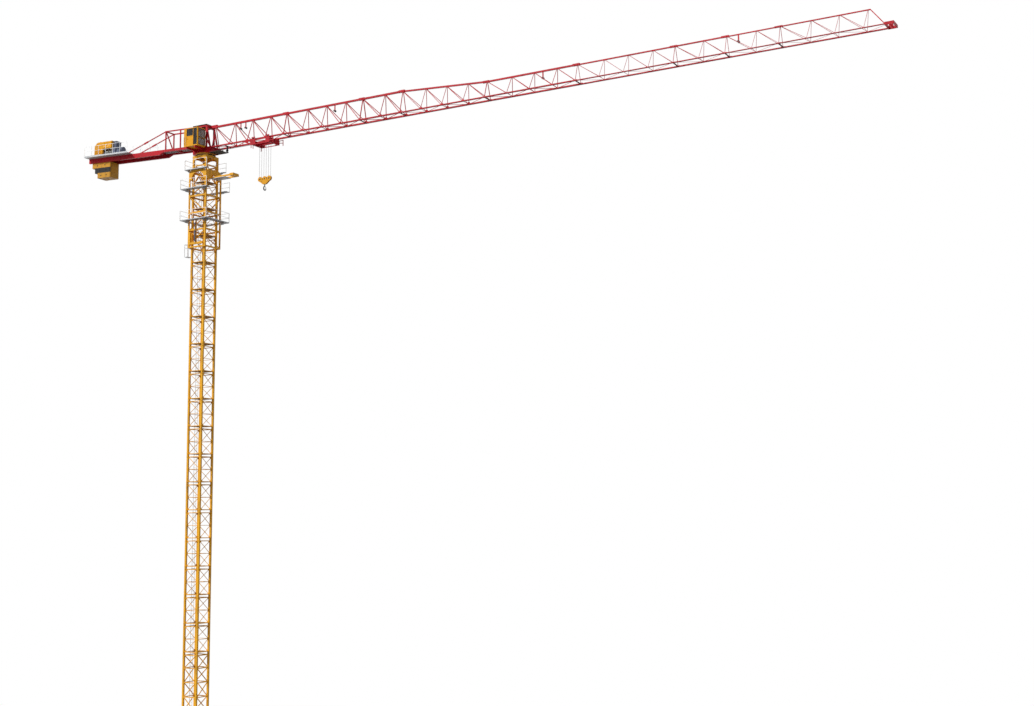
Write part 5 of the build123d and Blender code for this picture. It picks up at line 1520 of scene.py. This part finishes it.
# %% [markdown]
# ## Joints of the jib
# The jib comes to the site in lengths that are pinned together: a sleeve with a pin on each chord and a
# dark cross bar show where. Near the root, gussets take up the welds of the tubes. One is modelled, leant
# inwards like the side of the truss, set out along the jib and mirrored.

# %% Sleeves, cross bars and gussets
ROOT_SLEEVE = (70, -11, 0, 166, 11, 34, 1)
ROOT_SLEEVE_LOW = (0, 0, 6.6243)
SLEEVE_PIN = 3.2
GUSSETED = 13
GUSSET_CORNERS = ((-0.016, 0), (0.016, 0), (0.009, 0.014), (-0.009, 0.014))
GUSSET_PLACE = (foot_x(1), 0.002 - CHORD_Y, CHORD_BOTTOM + 0.0135)
SIDE_LEAN = Matrix.Rotation(math.radians(-13.5), 4, "X")

sleeves = [bars(ROOT_SLEEVE_LOW, ROOT_SLEEVE)]
cross_bars = []
for count in JOINTS:
    x = foot_x(count)
    top, bottom, _ = [1000 * size for size in sizes_at(count - 1)]
    half = top / 2 + 3
    inner, outer = 1000 * CHORD_Y - bottom / 2, 1000 * CHORD_Y + 5
    top_chord, low_chord = (x, 0, top_level(x) - TOP_UNDERSIDE), (x, 0, CHORD_BOTTOM)
    sleeves.append(bars(top_chord, (-52, -half, -1, 22, half, top + 4, 1)))
    sleeves.append(rods(top_chord, (0, -half - 3, top / 2, 0, half + 3, top / 2, SLEEVE_PIN)))
    lower = bars(low_chord, (-20, -outer, 1, 20, 2 - inner, bottom + 2, 1))
    pin = rods((x, 0, CHORD_LEVEL), (0, 6 - inner, 0, 0, -inner, 0, SLEEVE_PIN))
    sleeves.append(mirrored(joined([lower, pin])))
    cross_bars.append(bars(low_chord, (-6, -inner, 1, 6, inner, 8, 1)))
fitted(joined(sleeves), "jib_sleeves", "upper_works", "jib_paint")
fitted(joined(cross_bars), "jib_joint_bars", "upper_works", "jib_paint", "joint")

web = plate([(x, 0, z) for x, z in GUSSET_CORNERS], GUSSET_THICK)
web = moved(web, Matrix.Translation(GUSSET_PLACE) @ SIDE_LEAN)
fitted(mirrored(row(web, GUSSETED, (PANEL, 0, 0))), "jib_gussets", "upper_works", "jib_paint")

# %% [markdown]
# ## Lead of the hoist rope
# The hoist rope comes to the trolley from a sheave under the root of the jib, through an eye in the rear
# beam, and its other end is made fast with a threaded ferrule in the front beam. The lead grows when the
# trolley runs out; here it is made at one length, and rides on no body.

# %% Rope from the root, and its dead end
LEAD_LEVEL = TROLLEY_LEVEL + ROPE_PATH
LEAD_ROOT = 0.31
LONG_LAY = 0.06
DEAD_END = 0.964
EYE_PLACE = (0.728, 0, LEAD_LEVEL)
EYE_OUTLINE = ((2.2, -8), (7.5, -8), (7.5, -6), (4.5, -4.5), (4.5, 4), (2.2, 4))
ROPE_EYE_STEPS = 20
FERRULE = (-12, 0, 0, 2, 0, 0, 2.8, 12)
FERRULE_THREAD = (0, 0, 0, 18, 0, 0, 2.4, 12)
FERRULE_NUTS = [(x, 0, 0, x + 3, 0, 0, 4.6, 6) for x in (8.2, 11.6)]
HANGER = (-6, -6.4, -5, 6, -4.6, 52)
HANGER_BEAM = (-6, -60, 48, 6, 60, 56)


def lead(start_x, end_x):
    """Rope along the jib, at the height of the sheaves' tops."""
    lie = Matrix.Rotation(math.radians(90), 4, "Y")
    return moved(wire(end_x - start_x, LONG_LAY), Matrix.Translation((start_x, 0, LEAD_LEVEL)) @ lie)


rope = painted_as(lead(LEAD_ROOT, TROLLEY_SHEAVES[0]), "rope_from_root", "rope")
start, end = [(x, 0, LEAD_LEVEL) for x in (LEAD_ROOT, TROLLEY_SHEAVES[0])]
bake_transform(rope)
fitted(lead(TROLLEY_SHEAVES[3], DEAD_END), "rope_dead_end", "trolley", "rope")

rope_eye = moved(turned(EYE_OUTLINE, "X", ROPE_EYE_STEPS), Matrix.Translation(EYE_PLACE))
ferrule = rods((DEAD_END, 0, LEAD_LEVEL), FERRULE, FERRULE_THREAD, *FERRULE_NUTS)
fitted(joined([rope_eye, ferrule]), "rope_eye_and_ferrule", "trolley", "dark_steel")

root = (LEAD_ROOT, 0, TROLLEY_LEVEL)
hanging = joined([sheaves([root]), mirrored(bars(root, HANGER)), bars(root, HANGER_BEAM)])
fitted(hanging, "rope_root_sheave", "upper_works", "dark_steel")

# %% [markdown]
# ## Guide rollers
# The rope that pulls the trolley runs through guides below the top chord. Each is an arm of the solid
# model, and it gets a roller with raised rims. One roller is turned and copied to every arm.

# %% Rollers of the rope guides
GUIDE_XS = (0.500, 0.570, 1.778, 4.265, 6.253)
GUIDE_DROP = 0.070
ROLLER_OUTLINE = ((3, -13), (11, -13), (11, -11), (8.6, -9), (8.6, 9), (11, 11), (11, 13), (3, 13))
ROLLER_STEPS = 20

guides = [(x, 0, top_level(x) - GUIDE_DROP) for x in GUIDE_XS]
rollers = placed(turned(ROLLER_OUTLINE, "Y", ROLLER_STEPS), guides)
fitted(rollers, "guide_rollers", "upper_works", "dark_steel")
